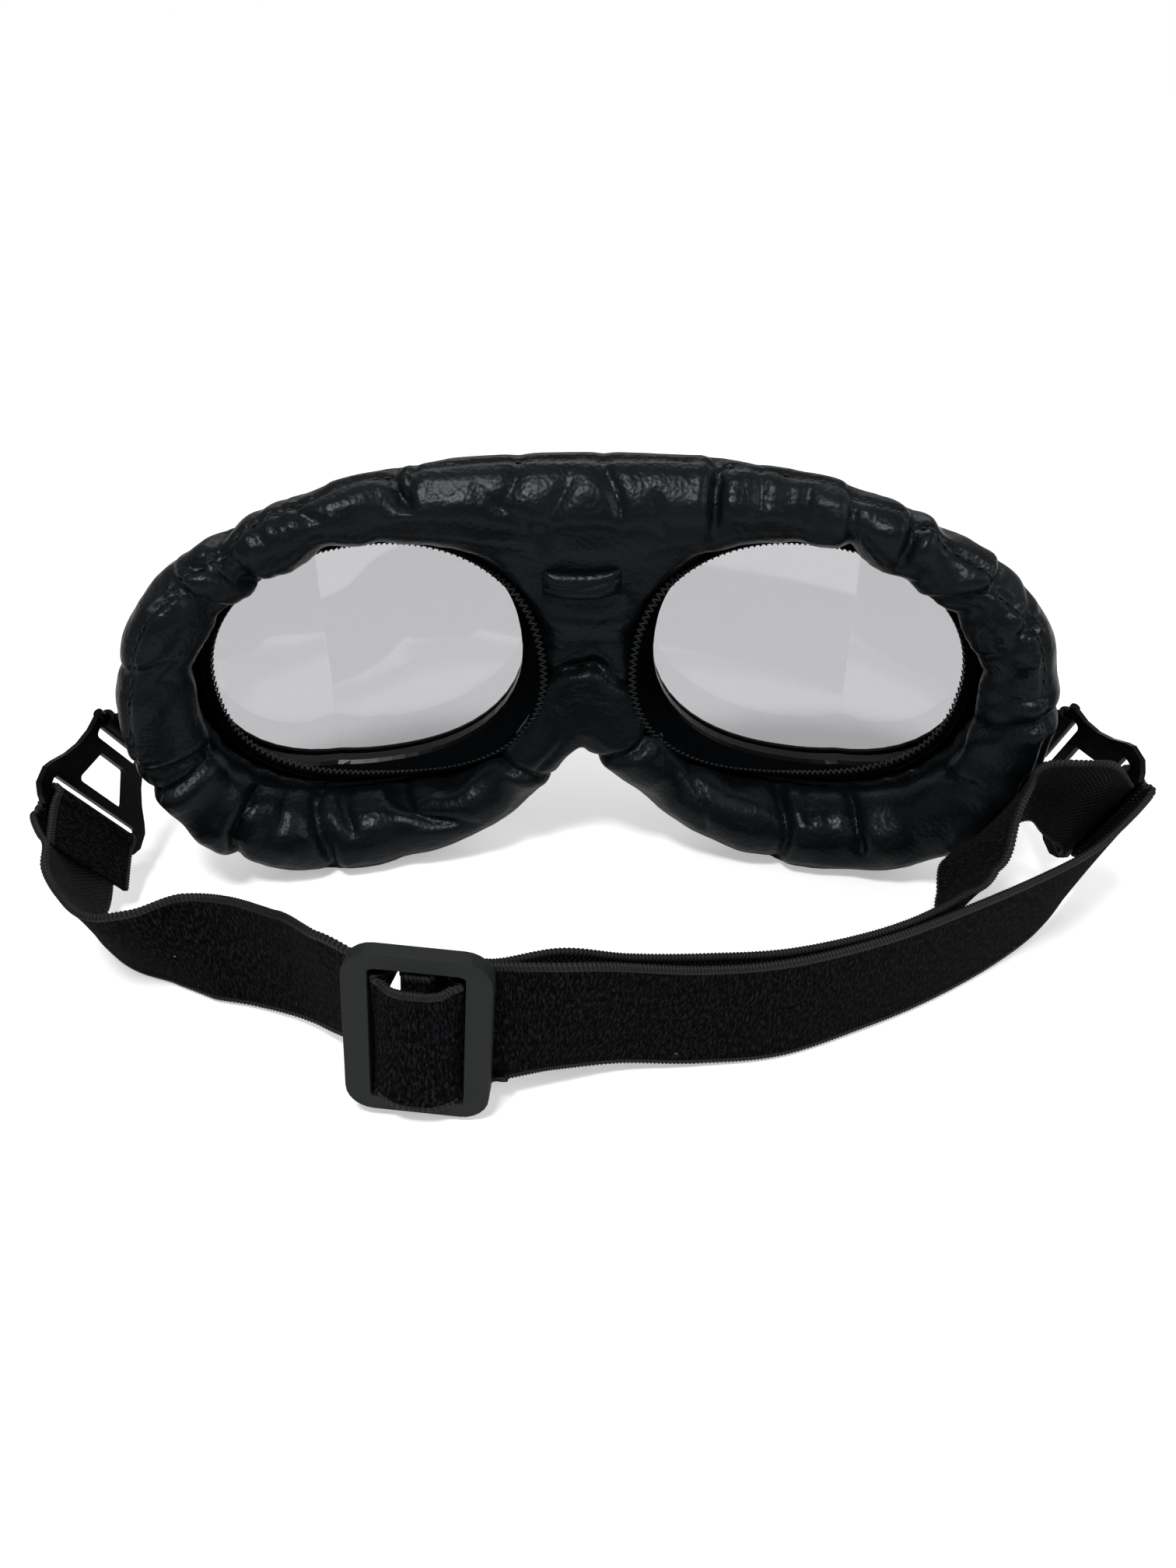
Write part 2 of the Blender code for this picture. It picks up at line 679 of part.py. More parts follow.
def bracket_holes():
    slot_end = BRACKET_LENGTH - STRAP_BAR
    slot_start = slot_end - STRAP_SLOT
    window_end = slot_start - INNER_BAR
    window_start = END_BAR_RADIUS + HINGE_SLOT + FIRST_BAR
    hinge_end = END_BAR_RADIUS + HINGE_SLOT
    slot = (STRAP_WIDTH + STRAP_SLOT_PLAY) / 2
    narrow = WINDOW_NARROW / 2
    broad = WINDOW_WIDE / 2
    hinge = (LUG_WIDTH + HINGE_SLOT_PLAY) / 2
    start = END_BAR_RADIUS - GAP
    quads = (
        ((slot_start, -slot), (slot_end, -slot), (slot_end, slot), (slot_start, slot)),
        ((window_start, -narrow), (window_end, -broad), (window_end, broad), (window_start, narrow)),
        ((start, -hinge), (hinge_end, -hinge), (hinge_end, hinge), (start, hinge)),
    )
    return [rounded(quad, SLOT_CORNER) for quad in quads]


def strap_bracket(side):
    """The three-slot bracket, whose round end bar turns in the frame's lug."""
    name = side_name(side)
    matrix = hinge_matrix(side)
    plate = flat_outline("bracket_sheet", [bracket_outline()] + bracket_holes(), PLATE)
    body = add_part("strap_bracket_" + name, plate, BLACK_METAL)
    body.matrix_basis = matrix
    bar = add_cutter("end_bar_" + name, cylinder(END_BAR_RADIUS, BRACKET_NECK - GAP))
    bar.matrix_basis = matrix
    boolean(body, bar, "UNION")
    return body


def bridge_rivet_place(side):
    """Where a rivet goes through the bridge's end and the frame's lip, and the lip's slope."""
    x, z = lens_point(math.pi, (RIM_WIDTH + GAP + FRAME_WALL) / 2)
    turn = Matrix.Rotation(-FRONT_PANE_TURN * side, 4, "Z")
    place = mirrored((x, front(x), BRIDGE_Z), side)
    return Matrix.Translation(place) @ turn


def rivet_cutter(side, what):
    hole = cylinder(RIVET_RADIUS + GAP, 2 * (BRIDGE_THICKNESS + FRAME_LIP + OVERRUN))
    place = bridge_rivet_place(side)
    name = "rivet_hole_" + what + "_" + side_name(side)
    return add_cutter(name, moved(hole, place))


def bridge_rivet(side):
    """A domed rivet, turned about Y, from the frame's lip to its head on the bridge."""
    shape = bmesh.new()
    seat = GAP + BRIDGE_THICKNESS + GAP
    profile = [(0.0, -FRAME_LIP), (RIVET_RADIUS, -FRAME_LIP), (RIVET_RADIUS, seat), (RIVET_HEAD, seat)]
    dome = 5
    for k in range(1, dome):
        turn = math.pi / 2 * k / dome
        profile.append((RIVET_HEAD * math.cos(turn), seat + RIVET_HEAD_HEIGHT * math.sin(turn)))
    profile.append((0.0, seat + RIVET_HEAD_HEIGHT))
    rail = [shape.verts.new((radius, height, 0.0)) for radius, height in profile]
    edges = [shape.edges.new(pair) for pair in zip(rail, rail[1:])]
    bmesh.ops.spin(shape, geom=rail + edges, cent=(0, 0, 0), axis=(0, 1, 0),
                   angle=2 * math.pi, steps=20, use_merge=True)
    bmesh.ops.remove_doubles(shape, verts=shape.verts, dist=MERGE)
    return add_part("bridge_rivet_" + side_name(side), moved(shape, bridge_rivet_place(side)),
                    BLACK_METAL)


def nose_bridge():
    """The plate that joins the frames, waisted over the nose and lapped on both lips."""
    edge, _ = lens_point(math.pi, RIM_WIDTH + GAP + FRAME_WALL)
    reach = edge + BRIDGE_LAP
    swell = BRIDGE_END - BRIDGE_WAIST
    rings = []
    for share, swell_share in BRIDGE_BOW_SHARES:
        x = share * reach
        half = (BRIDGE_WAIST + swell * swell_share) / 2
        y = front(abs(x)) + GAP
        rings.append([
            Vector((x, y, BRIDGE_Z - half)), Vector((x, y + BRIDGE_THICKNESS, BRIDGE_Z - half)),
            Vector((x, y + BRIDGE_THICKNESS, BRIDGE_Z + half)), Vector((x, y, BRIDGE_Z + half)),
        ])
    body = add_part("nose_bridge", loft(rings, closed_path=False), BLACK_ALLOY)
    for side in (1, -1):
        boolean(body, rivet_cutter(side, "bridge"), "DIFFERENCE")
    return body


def pad_rear(height):
    """How far back the pad between the eyes reaches at this height, on the nose plane."""
    marks = [(NOTCH_ROLL_MIDDLE, 1.0)]
    for angle, fullness in pad_angles():
        marks.append((outline_point(angle)[1], fullness))
    marks.append((TOP_ROLL_MIDDLE, 1.0))
    for (low, first), (high, second) in zip(marks, marks[1:]):
        if height <= high:
            break
    turn = (height - low) / (high - low)
    return wrap(0.0) - ROLL_REAR * (first + (second - first) * turn)


def bridge_band():
    """The folded leather band across the top of the nose pad, on its rear face."""
    edge, _ = opening_point(math.pi)
    rear = pad_rear(BAND_Z) - BAND_SEAT
    lean = Matrix.Rotation(BAND_LEAN, 3, "X")
    rings = []
    for share in BAND_WIDTH_SHARES:
        ring = []
        deep = BAND_THICKNESS + BAND_BULGE * (1 - share * share)
        for back, height in BAND_SECTION_SHARES:
            place = lean @ Vector((0.0, back * deep, height * BAND_HEIGHT))
            ring.append(place + Vector((share * edge, rear, BAND_Z)))
        rings.append(ring)
    return add_part("bridge_band", loft(rings, closed_path=False), LEATHERETTE, 50.0)


def slider_matrix():
    way = SLIDER_WAY.normalized()
    up = (SLIDER_UP - way * SLIDER_UP.dot(way)).normalized()
    out = way.cross(up)
    return Matrix((
        (way.x, up.x, out.x, SLIDER_X),
        (way.y, up.y, out.y, SLIDER_Y),
        (way.z, up.z, out.z, SLIDER_Z),
        (0, 0, 0, 1),
    ))


def rectangle(low_x, low_y, high_x, high_y):
    return ((low_x, low_y), (high_x, low_y), (high_x, high_y), (low_x, high_y))


def slider():
    """A rounded frame with a thinner centre bar between its two strap slots."""
    window_height = STRAP_WIDTH + 2 * SLIDER_PLAY
    half_height = window_height / 2 + SLIDER_RAIL
    half_width = SLIDER_WIDTH / 2
    window = half_width - SLIDER_SIDE
    outer = rounded(rectangle(-half_width, -half_height, half_width, half_height), SLIDER_CORNER, 6)
    hole = rounded(rectangle(-window, -window_height / 2, window, window_height / 2), SLOT_CORNER, 3)
    shape = flat_outline("slider_sheet", [outer, hole], SLIDER_DEPTH)
    body = add_part("slider", shape, GREY_PLASTIC)
    body.matrix_basis = slider_matrix()
    soften = body.modifiers.new("soft edges", "BEVEL")
    soften.width = SLIDER_BEVEL
    soften.segments = 2
    soften.limit_method = "ANGLE"
    bar = bmesh.new()
    bmesh.ops.create_cube(bar, size=1.0)
    height = window_height + SLIDER_RAIL
    bmesh.ops.scale(bar, vec=(CENTRE_BAR_WIDTH, height, CENTRE_BAR_DEPTH), verts=bar.verts)
    drop = centre_bar_middle()
    bmesh.ops.translate(bar, vec=(0, 0, drop), verts=bar.verts)
    piece = add_cutter("centre_bar", bar)
    piece.matrix_basis = slider_matrix()
    boolean(body, piece, "UNION")
    return body


def centre_bar_middle():
    """The bar lies near the rear face, so that two layers of strap fit over it."""
    return -SLIDER_DEPTH / 2 + CENTRE_BAR_DEPTH / 2 + SLOT_CORNER / 8


def ribbon(name, stations, smooth_angle=60.0):
    """A strap through (middle, edge-to-edge vector) stations, thickened about its middle."""
    shape = bmesh.new()
    half_width = STRAP_WIDTH / 2
    rows = []
    for station in stations:
        middle = Vector(station[:3])
        across = Vector(station[3:]).normalized() * half_width
        rows.append([shape.verts.new(middle - across), shape.verts.new(middle + across)])
    for first, second in zip(rows, rows[1:]):
        shape.faces.new((first[0], first[1], second[1], second[0]))
    body = add_part(name, shape, ELASTIC, smooth_angle)
    wall = body.modifiers.new("thickness", "SOLIDIFY")
    wall.thickness = STRAP_THICKNESS
    wall.offset = 0.0
    wall.use_even_offset = True
    return body


def local_stations(points, matrix, across):
    """Stations from points in a local plane, all with the same edge-to-edge direction."""
    return [(*(matrix @ Vector(point)), *across) for point in points]


def bar_turn(side):
    """Stations round the bracket's strap bar, from its outer face to its inner one."""
    lift = PLATE / 2 + GAP + STRAP_THICKNESS / 2
    near = BRACKET_LENGTH - STRAP_BAR + GAP
    far = near + STRAP_BAR + OVERRUN
    steps = 6
    found = [(far, 0.0, lift), ((near + far) / 2, 0.0, lift)]
    for k in range(steps + 1):
        turn = math.pi / 2 + math.pi * k / steps
        found.append((near + lift * math.cos(turn), 0.0, lift * math.sin(turn)))
    found += [((near + far) / 2, 0.0, -lift)]
    matrix = hinge_matrix(side)
    across = matrix.to_3x3() @ Vector((0, -side, 0))
    return local_stations(found, matrix, across)


def weave_points():
    """The strap's way through the slider: behind a side, over the bar, behind the other side."""
    behind = -SLIDER_DEPTH / 2 - 2 * GAP - STRAP_THICKNESS / 2
    over = end_loop_front() + STRAP_THICKNESS + GAP
    window = SLIDER_WIDTH / 2 - SLIDER_SIDE
    half = [(window + SLIDER_SIDE, behind - GAP), (window + SLIDER_SIDE / 2, behind),
            (window - STRAP_THICKNESS / 2, behind)]
    for across, rise in WEAVE_SHARES:
        half.append((window * across, behind + (over - behind) * rise))
    left = [(-u, 0.0, n) for u, n in half]
    right = [(u, 0.0, n) for u, n in reversed(half)]
    return left + [(0.0, 0.0, over)] + right


def end_loop_front():
    """Height of the middle of the sewn end where it lies on the centre bar's front."""
    return centre_bar_middle() + CENTRE_BAR_DEPTH / 2 + GAP + STRAP_THICKNESS / 2


def end_loop_points():
    """The sewn end: in from the right behind the outer run, round the centre bar and back."""
    front_line = end_loop_front()
    rear_line = centre_bar_middle() - CENTRE_BAR_DEPTH / 2 - GAP - STRAP_THICKNESS / 2
    side = CENTRE_BAR_WIDTH / 2 + GAP + STRAP_THICKNESS / 2
    behind = -SLIDER_DEPTH / 2 - 4 * GAP - STRAP_THICKNESS - STRAP_THICKNESS / 2
    window = SLIDER_WIDTH / 2 - SLIDER_SIDE
    middle = (front_line + rear_line) / 2
    ease = STRAP_THICKNESS / 2
    first_share, second_share = LOOP_ENTRY_SHARES
    return [
        (window + SLIDER_SIDE, 0.0, behind - GAP), (window * first_share, 0.0, behind),
        (window * second_share, 0.0, (behind + rear_line) / 2), (side / 2, 0.0, rear_line),
        (-side + ease, 0.0, rear_line), (-side, 0.0, rear_line + ease), (-side, 0.0, middle),
        (-side, 0.0, front_line - ease), (-side + ease, 0.0, front_line), (0.0, 0.0, front_line),
        (side - ease, 0.0, front_line), (side, 0.0, front_line - ease), (side, 0.0, middle),
    ]


def run_stations(rows):
    """Free stations: (x, y, low edge) and the top edge's (x, y) lean, in shares."""
    found = []
    for x, y, low, lean_x, lean_y in rows:
        rise = math.sqrt(1.0 - lean_x * lean_x - lean_y * lean_y)
        height = STRAP_LIFT * low + STRAP_WIDTH * rise / 2
        found.append((x * STRAP_SPAN, y * STRAP_REACH, height, lean_x, lean_y, rise))
    return found


LEFT_RUN_SHARES = (
    (-0.972, -0.35, 0.16, -0.1, -0.5), (-0.955, -0.44, 0.09, 0.0, -0.46),
    (-0.907, -0.515, 0.03, 0.0, -0.46), (-0.84, -0.585, 0.015, -0.04, -0.45),
    (-0.768, -0.613, 0.015, 0.0, -0.32), (-0.69, -0.615, 0.015, 0.06, -0.05),
    (-0.6, -0.64, 0.03, 0.03, 0.02), (-0.495, -0.72, 0.13, 0.07, -0.08),
    (-0.425, -0.79, 0.18, 0.05, -0.05),
)
RIGHT_OUTER_SHARES = (
    (-0.05, -0.925, 0.13, 0.05, -0.08), (0.06, -0.885, 0.07, 0.02, -0.14),
    (0.19, -0.862, 0.03, 0.0, -0.14), (0.33, -0.83, 0.01, 0.0, -0.13),
    (0.487, -0.745, 0.015, 0.06, -0.15), (0.63, -0.64, 0.015, 0.04, -0.17),
    (0.78, -0.51, 0.03, 0.02, -0.24), (0.9, -0.4, 0.14, 0.1, -0.3),
)
RIGHT_INNER_SHARES = (
    (0.935, -0.283, 0.6, 0.1, -0.27), (0.893, -0.255, 0.65, -0.02, -0.4),
    (0.85, -0.238, 0.71, -0.2, -0.5), (0.805, -0.275, 0.7, -0.12, -0.54),
    (0.755, -0.34, 0.65, 0.12, -0.52), (0.713, -0.4, 0.53, 0.32, -0.44),
    (0.685, -0.47, 0.33, 0.26, -0.36), (0.65, -0.55, 0.14, 0.15, -0.24),
    (0.585, -0.635, 0.04, 0.07, -0.14), (0.47, -0.72, 0.015, 0.04, -0.12),
    (0.33, -0.8, 0.015, 0.0, -0.12), (0.19, -0.828, 0.04, 0.0, -0.12),
    (0.06, -0.845, 0.11, 0.02, -0.12), (-0.05, -0.86, 0.19, 0.05, -0.08),
)


def smooth_path(points, pitch):
    """A curve through the stations, with steps of about this length."""
    found = []
    for i in range(len(points) - 1):
        corners = points[max(i - 1, 0)], points[i], points[i + 1], points[min(i + 2, len(points) - 1)]
        length = (Vector(corners[2][:3]) - Vector(corners[1][:3])).length
        steps = max(1, round(length / pitch))
        found += smooth_span(corners, steps)
    found.append(tuple(points[-1]))
    return found


def opened(points, index):
    """Cuts a path at a station and leaves a gap after it."""
    start = Vector(points[index])
    step = Vector(points[index + 1]) - start
    begin = start + step * GAP / step.xyz.length
    return points[:index + 1], [tuple(begin)] + points[index + 1:]


def nearest_station(points, place):
    return min(range(len(points)), key=lambda i: (Vector(points[i][:3]) - place).length)


def strap():
    """One elastic strap, in three runs whose ends meet behind the slider and inside a bracket."""
    slide = slider_matrix()
    up = slide.to_3x3() @ Vector((0, 1, 0))
    weave = local_stations(weave_points(), slide, up)
    left_turn = bar_turn(-1)
    right_turn = bar_turn(1)
    sewn_end = hinge_matrix(-1) @ Vector((BRACKET_LENGTH + TAIL_LENGTH, 0.0, -TAIL_DROP))
    tail = [(*sewn_end, *left_turn[0][3:])]
    end_loop = local_stations(end_loop_points(), slide, up)
    path = tail + list(reversed(left_turn)) + run_stations(LEFT_RUN_SHARES) + weave
    path += run_stations(RIGHT_OUTER_SHARES) + right_turn
    path += run_stations(RIGHT_INNER_SHARES) + end_loop
    points = smooth_path(path, STRAP_PITCH)
    left, rest = opened(points, nearest_station(points, Vector(weave[-2][:3])))
    outer, inner = opened(rest, nearest_station(rest, Vector(right_turn[-2][:3])))
    ribbon("strap_left", left)
    ribbon("strap_right_outer", outer)
    ribbon("strap_right_inner", inner)


def build():
    face_cushion()
    nose_bridge()
    bridge_band()
    for side in (1, -1):
        side_wall(side)
        lining(side)
        frame(side)
        lens(side)
        inner_rim(side)
        strap_bracket(side)
        bridge_rivet(side)
    slider()
    strap()


build()
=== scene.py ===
"""Padded riding goggles, seen from the side that lies on the face."""
import math

import bmesh
import bpy
from mathutils import Matrix, Vector, kdtree, noise
from mathutils.bvhtree import BVHTree


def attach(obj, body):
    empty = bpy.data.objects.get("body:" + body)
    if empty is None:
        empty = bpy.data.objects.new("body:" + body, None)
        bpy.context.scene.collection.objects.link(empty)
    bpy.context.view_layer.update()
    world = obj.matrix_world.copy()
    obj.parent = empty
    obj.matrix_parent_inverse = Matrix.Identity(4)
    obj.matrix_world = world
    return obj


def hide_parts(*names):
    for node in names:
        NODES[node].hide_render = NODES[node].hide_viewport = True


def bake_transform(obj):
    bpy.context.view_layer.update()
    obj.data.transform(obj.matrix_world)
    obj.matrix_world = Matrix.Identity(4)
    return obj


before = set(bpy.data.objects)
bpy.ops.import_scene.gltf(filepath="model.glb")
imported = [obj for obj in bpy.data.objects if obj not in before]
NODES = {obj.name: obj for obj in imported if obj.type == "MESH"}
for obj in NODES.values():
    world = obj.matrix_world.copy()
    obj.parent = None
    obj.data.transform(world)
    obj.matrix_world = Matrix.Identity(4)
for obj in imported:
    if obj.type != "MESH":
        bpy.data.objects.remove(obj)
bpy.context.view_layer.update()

MM = 0.001
# How far the cups stand forward of the row of parts that their sizes are given in.
FORWARD = 22.4 * MM
# The thread round the strap's edges takes one turn in this length.
STITCH_PITCH = 0.62 * MM


def clamped(value):
    return min(1.0, max(0.0, value))


def bell(distance, width):
    """1 in the middle, falling off to nothing within about twice this width."""
    return math.exp(-(distance / width) ** 2)


# ---- Materials ----

def linear(code):
    """An sRGB hex colour as the linear RGBA that shaders take."""
    channels = [int(code[i:i + 2], 16) / 255 for i in (1, 3, 5)]
    return (*[c / 12.92 if c <= 0.04045 else ((c + 0.055) / 1.055) ** 2.4 for c in channels], 1.0)


def feed(made, source, node, socket):
    """Leads an output, or a node's first output, to a socket."""
    output = source.outputs[0] if hasattr(source, "outputs") else source
    made.node_tree.links.new(output, node.inputs[socket])


def add_node(made, kind, settings=None, links=None):
    """Adds a shader node, sets its values and feeds its inputs."""
    node = made.node_tree.nodes.new("ShaderNode" + kind)
    for name, value in (settings or {}).items():
        if isinstance(name, str) and name not in node.inputs:
            setattr(node, name, value)
        else:
            node.inputs[name].default_value = value
    for name, source in (links or {}).items():
        feed(made, source, node, name)
    return node


def new_material(name, colour, roughness, **settings):
    """A material whose Principled shader starts from these values."""
    made = bpy.data.materials.new(name)
    made.use_nodes = True
    surface = made.node_tree.nodes["Principled BSDF"]
    surface.inputs["Base Color"].default_value = linear(colour)
    surface.inputs["Roughness"].default_value = roughness
    for socket, value in settings.items():
        surface.inputs[socket.replace("_", " ")].default_value = value
    return made, surface


def relief_and_tone(made, surface, height, strength, depth, pattern, dark, light, span=(0, 1)):
    """Raises the surface by one pattern, this deep in metres, and shades it by another."""
    bump = add_node(made, "Bump", {"Strength": strength, "Distance": depth}, {"Height": height})
    feed(made, bump, surface, "Normal")
    tone = add_node(made, "MapRange", {"From Min": span[0], "From Max": span[1]},
                    {"Value": pattern})
    shades = {"data_type": "RGBA", 6: linear(dark), 7: linear(light)}
    colour = add_node(made, "Mix", shades, {0: tone}).outputs[2]
    feed(made, colour, surface, "Base Color")
    return colour


def uneven_gloss(made, surface, pattern, low, high, span=(0, 1)):
    """Lets the roughness run from low to high over this span of a pattern."""
    rough = add_node(made, "MapRange", {"From Min": span[0], "From Max": span[1], "To Min": low,
                                        "To Max": high}, {"Value": pattern})
    feed(made, rough, surface, "Roughness")


def coated_leather():
    """PU-coated cloth, embossed: near black, with a soft sheen broken by fine grain and creases."""
    made, surface = new_material("embossed_pu_leatherette", "#0A0D10", 0.36,
                                 Specular_IOR_Level=0.15,
                                 Specular_Tint=(0.9, 0.96, 1.0, 1.0))
    place = add_node(made, "TexCoord").outputs["Object"]
    gather = add_node(made, "Attribute", {"attribute_name": "gather_place"}).outputs["Vector"]
    # Embossed grain cells about 0.9 mm wide.
    grain = add_node(made, "TexVoronoi", {"Scale": 1100.0, "feature": "SMOOTH_F1",
                                          "Smoothness": 0.5}, {"Vector": place})
    # Fine folds that run across the roll, about 2.5 mm apart.
    folds = add_node(made, "TexNoise", {"Scale": 400.0, "Detail": 3.0, "Roughness": 0.55},
                     {"Vector": gather})
    patches = add_node(made, "TexNoise", {"Scale": 90.0, "Detail": 4.0}, {"Vector": place})
    height = add_node(made, "Math", {"operation": "MULTIPLY_ADD", 1: 1.6}, {0: folds, 2: grain})
    relief_and_tone(made, surface, height, 0.45, 0.0002, patches, "#07090B", "#0D1013",
                    (0.35, 0.7))
    uneven_gloss(made, surface, patches, 0.3, 0.42, (0.3, 0.7))
    return made


def lining_cloth():
    """Coated lining cloth: matt black with a fine plain weave, thread spacing 0.7 mm."""
    made, surface = new_material("coated_lining_cloth", "#070809", 0.7, Specular_IOR_Level=0.0)
    place = add_node(made, "TexCoord").outputs["Object"]
    weave = add_node(made, "TexVoronoi", {"Scale": 1500.0}, {"Vector": place})
    slubs = add_node(made, "TexNoise", {"Scale": 500.0, "Detail": 3.0}, {"Vector": place})
    relief_and_tone(made, surface, weave, 0.4, 0.0002, slubs, "#040506", "#0A0C0E")
    return made


def seam_thread():
    """Polyester thread: twisted, a little shinier than the cloth it holds."""
    made, surface = new_material("black_seam_thread", "#212427", 0.5, Specular_IOR_Level=0.3)
    place = add_node(made, "TexCoord").outputs["Object"]
    twist = add_node(made, "TexNoise", {"Scale": 1600.0, "Detail": 2.0}, {"Vector": place})
    relief_and_tone(made, surface, twist, 0.5, 0.0002, twist, "#0A0C0E", "#212427")
    return made


def plush_elastic():
    """Brushed elastic: matt black pile in short upright streaks, with a few specks of lint."""
    made, surface = new_material("brushed_plush_elastic", "#0B0B0C", 0.92,
                                 Specular_IOR_Level=0.02, Sheen_Weight=0.008,
                                 Sheen_Roughness=0.5)
    place = add_node(made, "TexCoord").outputs["Object"]
    cloth = add_node(made, "UVMap", {"uv_map": "cloth"})
    # Streaks of pile 0.4 mm wide along the strap and about 1.3 mm long across it.
    stretch = add_node(made, "Mapping", {"Scale": (0.75, 2.6, 1.0)}, {"Vector": cloth})
    pile = add_node(made, "TexNoise", {"Scale": 1.0, "Detail": 3.0, "Roughness": 0.65,
                                       "Distortion": 0.4}, {"Vector": stretch})
    fleck = add_node(made, "TexNoise", {"Scale": 2200.0, "Detail": 2.0}, {"Vector": place})
    height = add_node(made, "Math", {"operation": "ADD"}, {0: pile, 1: fleck})
    pile_colour = relief_and_tone(made, surface, height, 0.6, 0.0004, pile, "#030304", "#232427",
                                  (0.47, 0.68))
    # Lint: one speck 0.5 mm wide in each 9 mm or so.
    lint = add_node(made, "TexVoronoi", {"Scale": 110.0, "Randomness": 1.0}, {"Vector": place})
    speck = add_node(made, "Math", {"operation": "LESS_THAN", 1: 0.03}, {0: lint})
    colour = add_node(made, "Mix", {"data_type": "RGBA", 7: linear("#63655F")},
                      {0: speck, 6: pile_colour})
    feed(made, colour.outputs[2], surface, "Base Color")
    return made


def overlock_thread():
    """Edge thread of the elastic: tight turns, lighter on the thread than between."""
    made, surface = new_material("overlock_thread", "#2E3032", 0.6, Specular_IOR_Level=0.25)
    cloth = add_node(made, "UVMap", {"uv_map": "cloth"})
    parts = add_node(made, "SeparateXYZ", None, {"Vector": cloth})
    # The map is in millimetres; each turn leans by half its pitch across the 1.3 mm edge.
    lean = add_node(made, "Math", {"operation": "MULTIPLY_ADD", 1: 0.25},
                    {0: parts.outputs["X"], 2: parts.outputs["Y"]})
    turns = add_node(made, "Math", {"operation": "MULTIPLY", 1: 2 * math.pi * MM / STITCH_PITCH},
                     {0: lean})
    ridge = add_node(made, "Math", {"operation": "SINE"}, {0: turns})
    relief_and_tone(made, surface, ridge, 0.7, 0.00015, ridge, "#040405", "#222426", (-0.5, 0.9))
    return made


def ribbed_elastic():
    """The woven inner face: rows of small loops, drawn a little coarse so that they show, with
    painted highlights on their tops and painted shade between them.
    """
    made, surface = new_material("ribbed_elastic_back", "#0A0A0B", 0.7, Specular_IOR_Level=0.15)
    cloth = add_node(made, "UVMap", {"uv_map": "cloth"})
    parts = add_node(made, "SeparateXYZ", None, {"Vector": cloth})
    # The map is in millimetres: V runs along the strap, with rows 0.85 mm apart, and U across
    # it, with loops 1.1 mm apart.
    waves = []
    for socket, pitch in (("Y", 0.85), ("X", 1.1)):
        turns = add_node(made, "Math", {"operation": "MULTIPLY", 1: 2 * math.pi / pitch},
                         {0: parts.outputs[socket]})
        waves.append(add_node(made, "Math", {"operation": "SINE"}, {0: turns}))
    height = add_node(made, "Math", {"operation": "MULTIPLY"}, {0: waves[0], 1: waves[1]})
    # The colour follows the loops' relief: painted highlight on their tops and painted shade in the
    # hollows between them.
    relief_and_tone(made, surface, height, 0.9, 0.0004, height, "#060606", "#232325", (0.2, 1.0))
    return made


def painted_metal(name, colour, roughness):
    """Sprayed enamel on metal: deep gloss black with a faint orange peel."""
    made, surface = new_material(name, colour, roughness, Specular_IOR_Level=0.08,
                                 Coat_Weight=0.03, Coat_Roughness=0.15)
    place = add_node(made, "TexCoord").outputs["Object"]
    # Orange peel 1.4 mm apart, and rubbed patches about 6 mm apart.
    peel = add_node(made, "TexNoise", {"Scale": 700.0, "Detail": 1.0}, {"Vector": place})
    rubbed = add_node(made, "TexNoise", {"Scale": 160.0, "Detail": 5.0}, {"Vector": place})
    uneven_gloss(made, surface, rubbed, roughness * 0.8, roughness * 1.5, (0.35, 0.7))
    relief_and_tone(made, surface, peel, 0.08, 0.0002, rubbed, colour, "#0A0A0B", (0.45, 0.75))
    return made


def gloss_rim():
    """Polished ABS, injection moulded: a mirror-dark rim with the slightest waviness."""
    made, surface = new_material("polished_black_abs", "#050506", 0.2, Specular_IOR_Level=0.08)
    place = add_node(made, "TexCoord").outputs["Object"]
    # Sink marks about 8 mm apart.
    wave = add_node(made, "TexNoise", {"Scale": 120.0, "Detail": 1.0}, {"Vector": place})
    uneven_gloss(made, surface, wave, 0.16, 0.26)
    relief_and_tone(made, surface, wave, 0.06, 0.0006, wave, "#050506", "#0A0B0C")
    return made


def moulded_slider():
    """Dark grey ABS from a spark-eroded mould: satin, with a fine even texture."""
    made, surface = new_material("textured_grey_abs", "#1B1D1D", 0.5, Specular_IOR_Level=0.22)
    place = add_node(made, "TexCoord").outputs["Object"]
    # Spark grit 0.45 mm apart, and flow marks about 9 mm apart.
    spark = add_node(made, "TexNoise", {"Scale": 2200.0, "Detail": 3.0}, {"Vector": place})
    flow = add_node(made, "TexNoise", {"Scale": 110.0, "Detail": 3.0}, {"Vector": place})
    uneven_gloss(made, surface, flow, 0.48, 0.64)
    relief_and_tone(made, surface, spark, 0.18, 0.0002, flow, "#171919", "#1E2020")
    return made


def pale_lens():
    """Polycarbonate sheet with a light grey smoke: clear, glossy, and slightly dusty."""
    made, surface = new_material("smoked_polycarbonate", "#B3B3B5", 0.03, IOR=1.585,
                                 Specular_IOR_Level=0.25, Transmission_Weight=1.0)
    place = add_node(made, "TexCoord").outputs["Object"]
    # Dust in drifts about 17 mm wide.
    dust = add_node(made, "TexNoise", {"Scale": 60.0, "Detail": 6.0}, {"Vector": place})
    uneven_gloss(made, surface, dust, 0.02, 0.07, (0.4, 0.8))
    # Lamps shine through it, so that it throws a pale shadow.
    clear = add_node(made, "BsdfTransparent", {"Color": linear("#B3B3B5")})
    path = add_node(made, "LightPath")
    mix = add_node(made, "MixShader", None, {0: path.outputs["Is Shadow Ray"],
                                             1: surface, 2: clear})
    feed(made, mix, made.node_tree.nodes["Material Output"], "Surface")
    return made


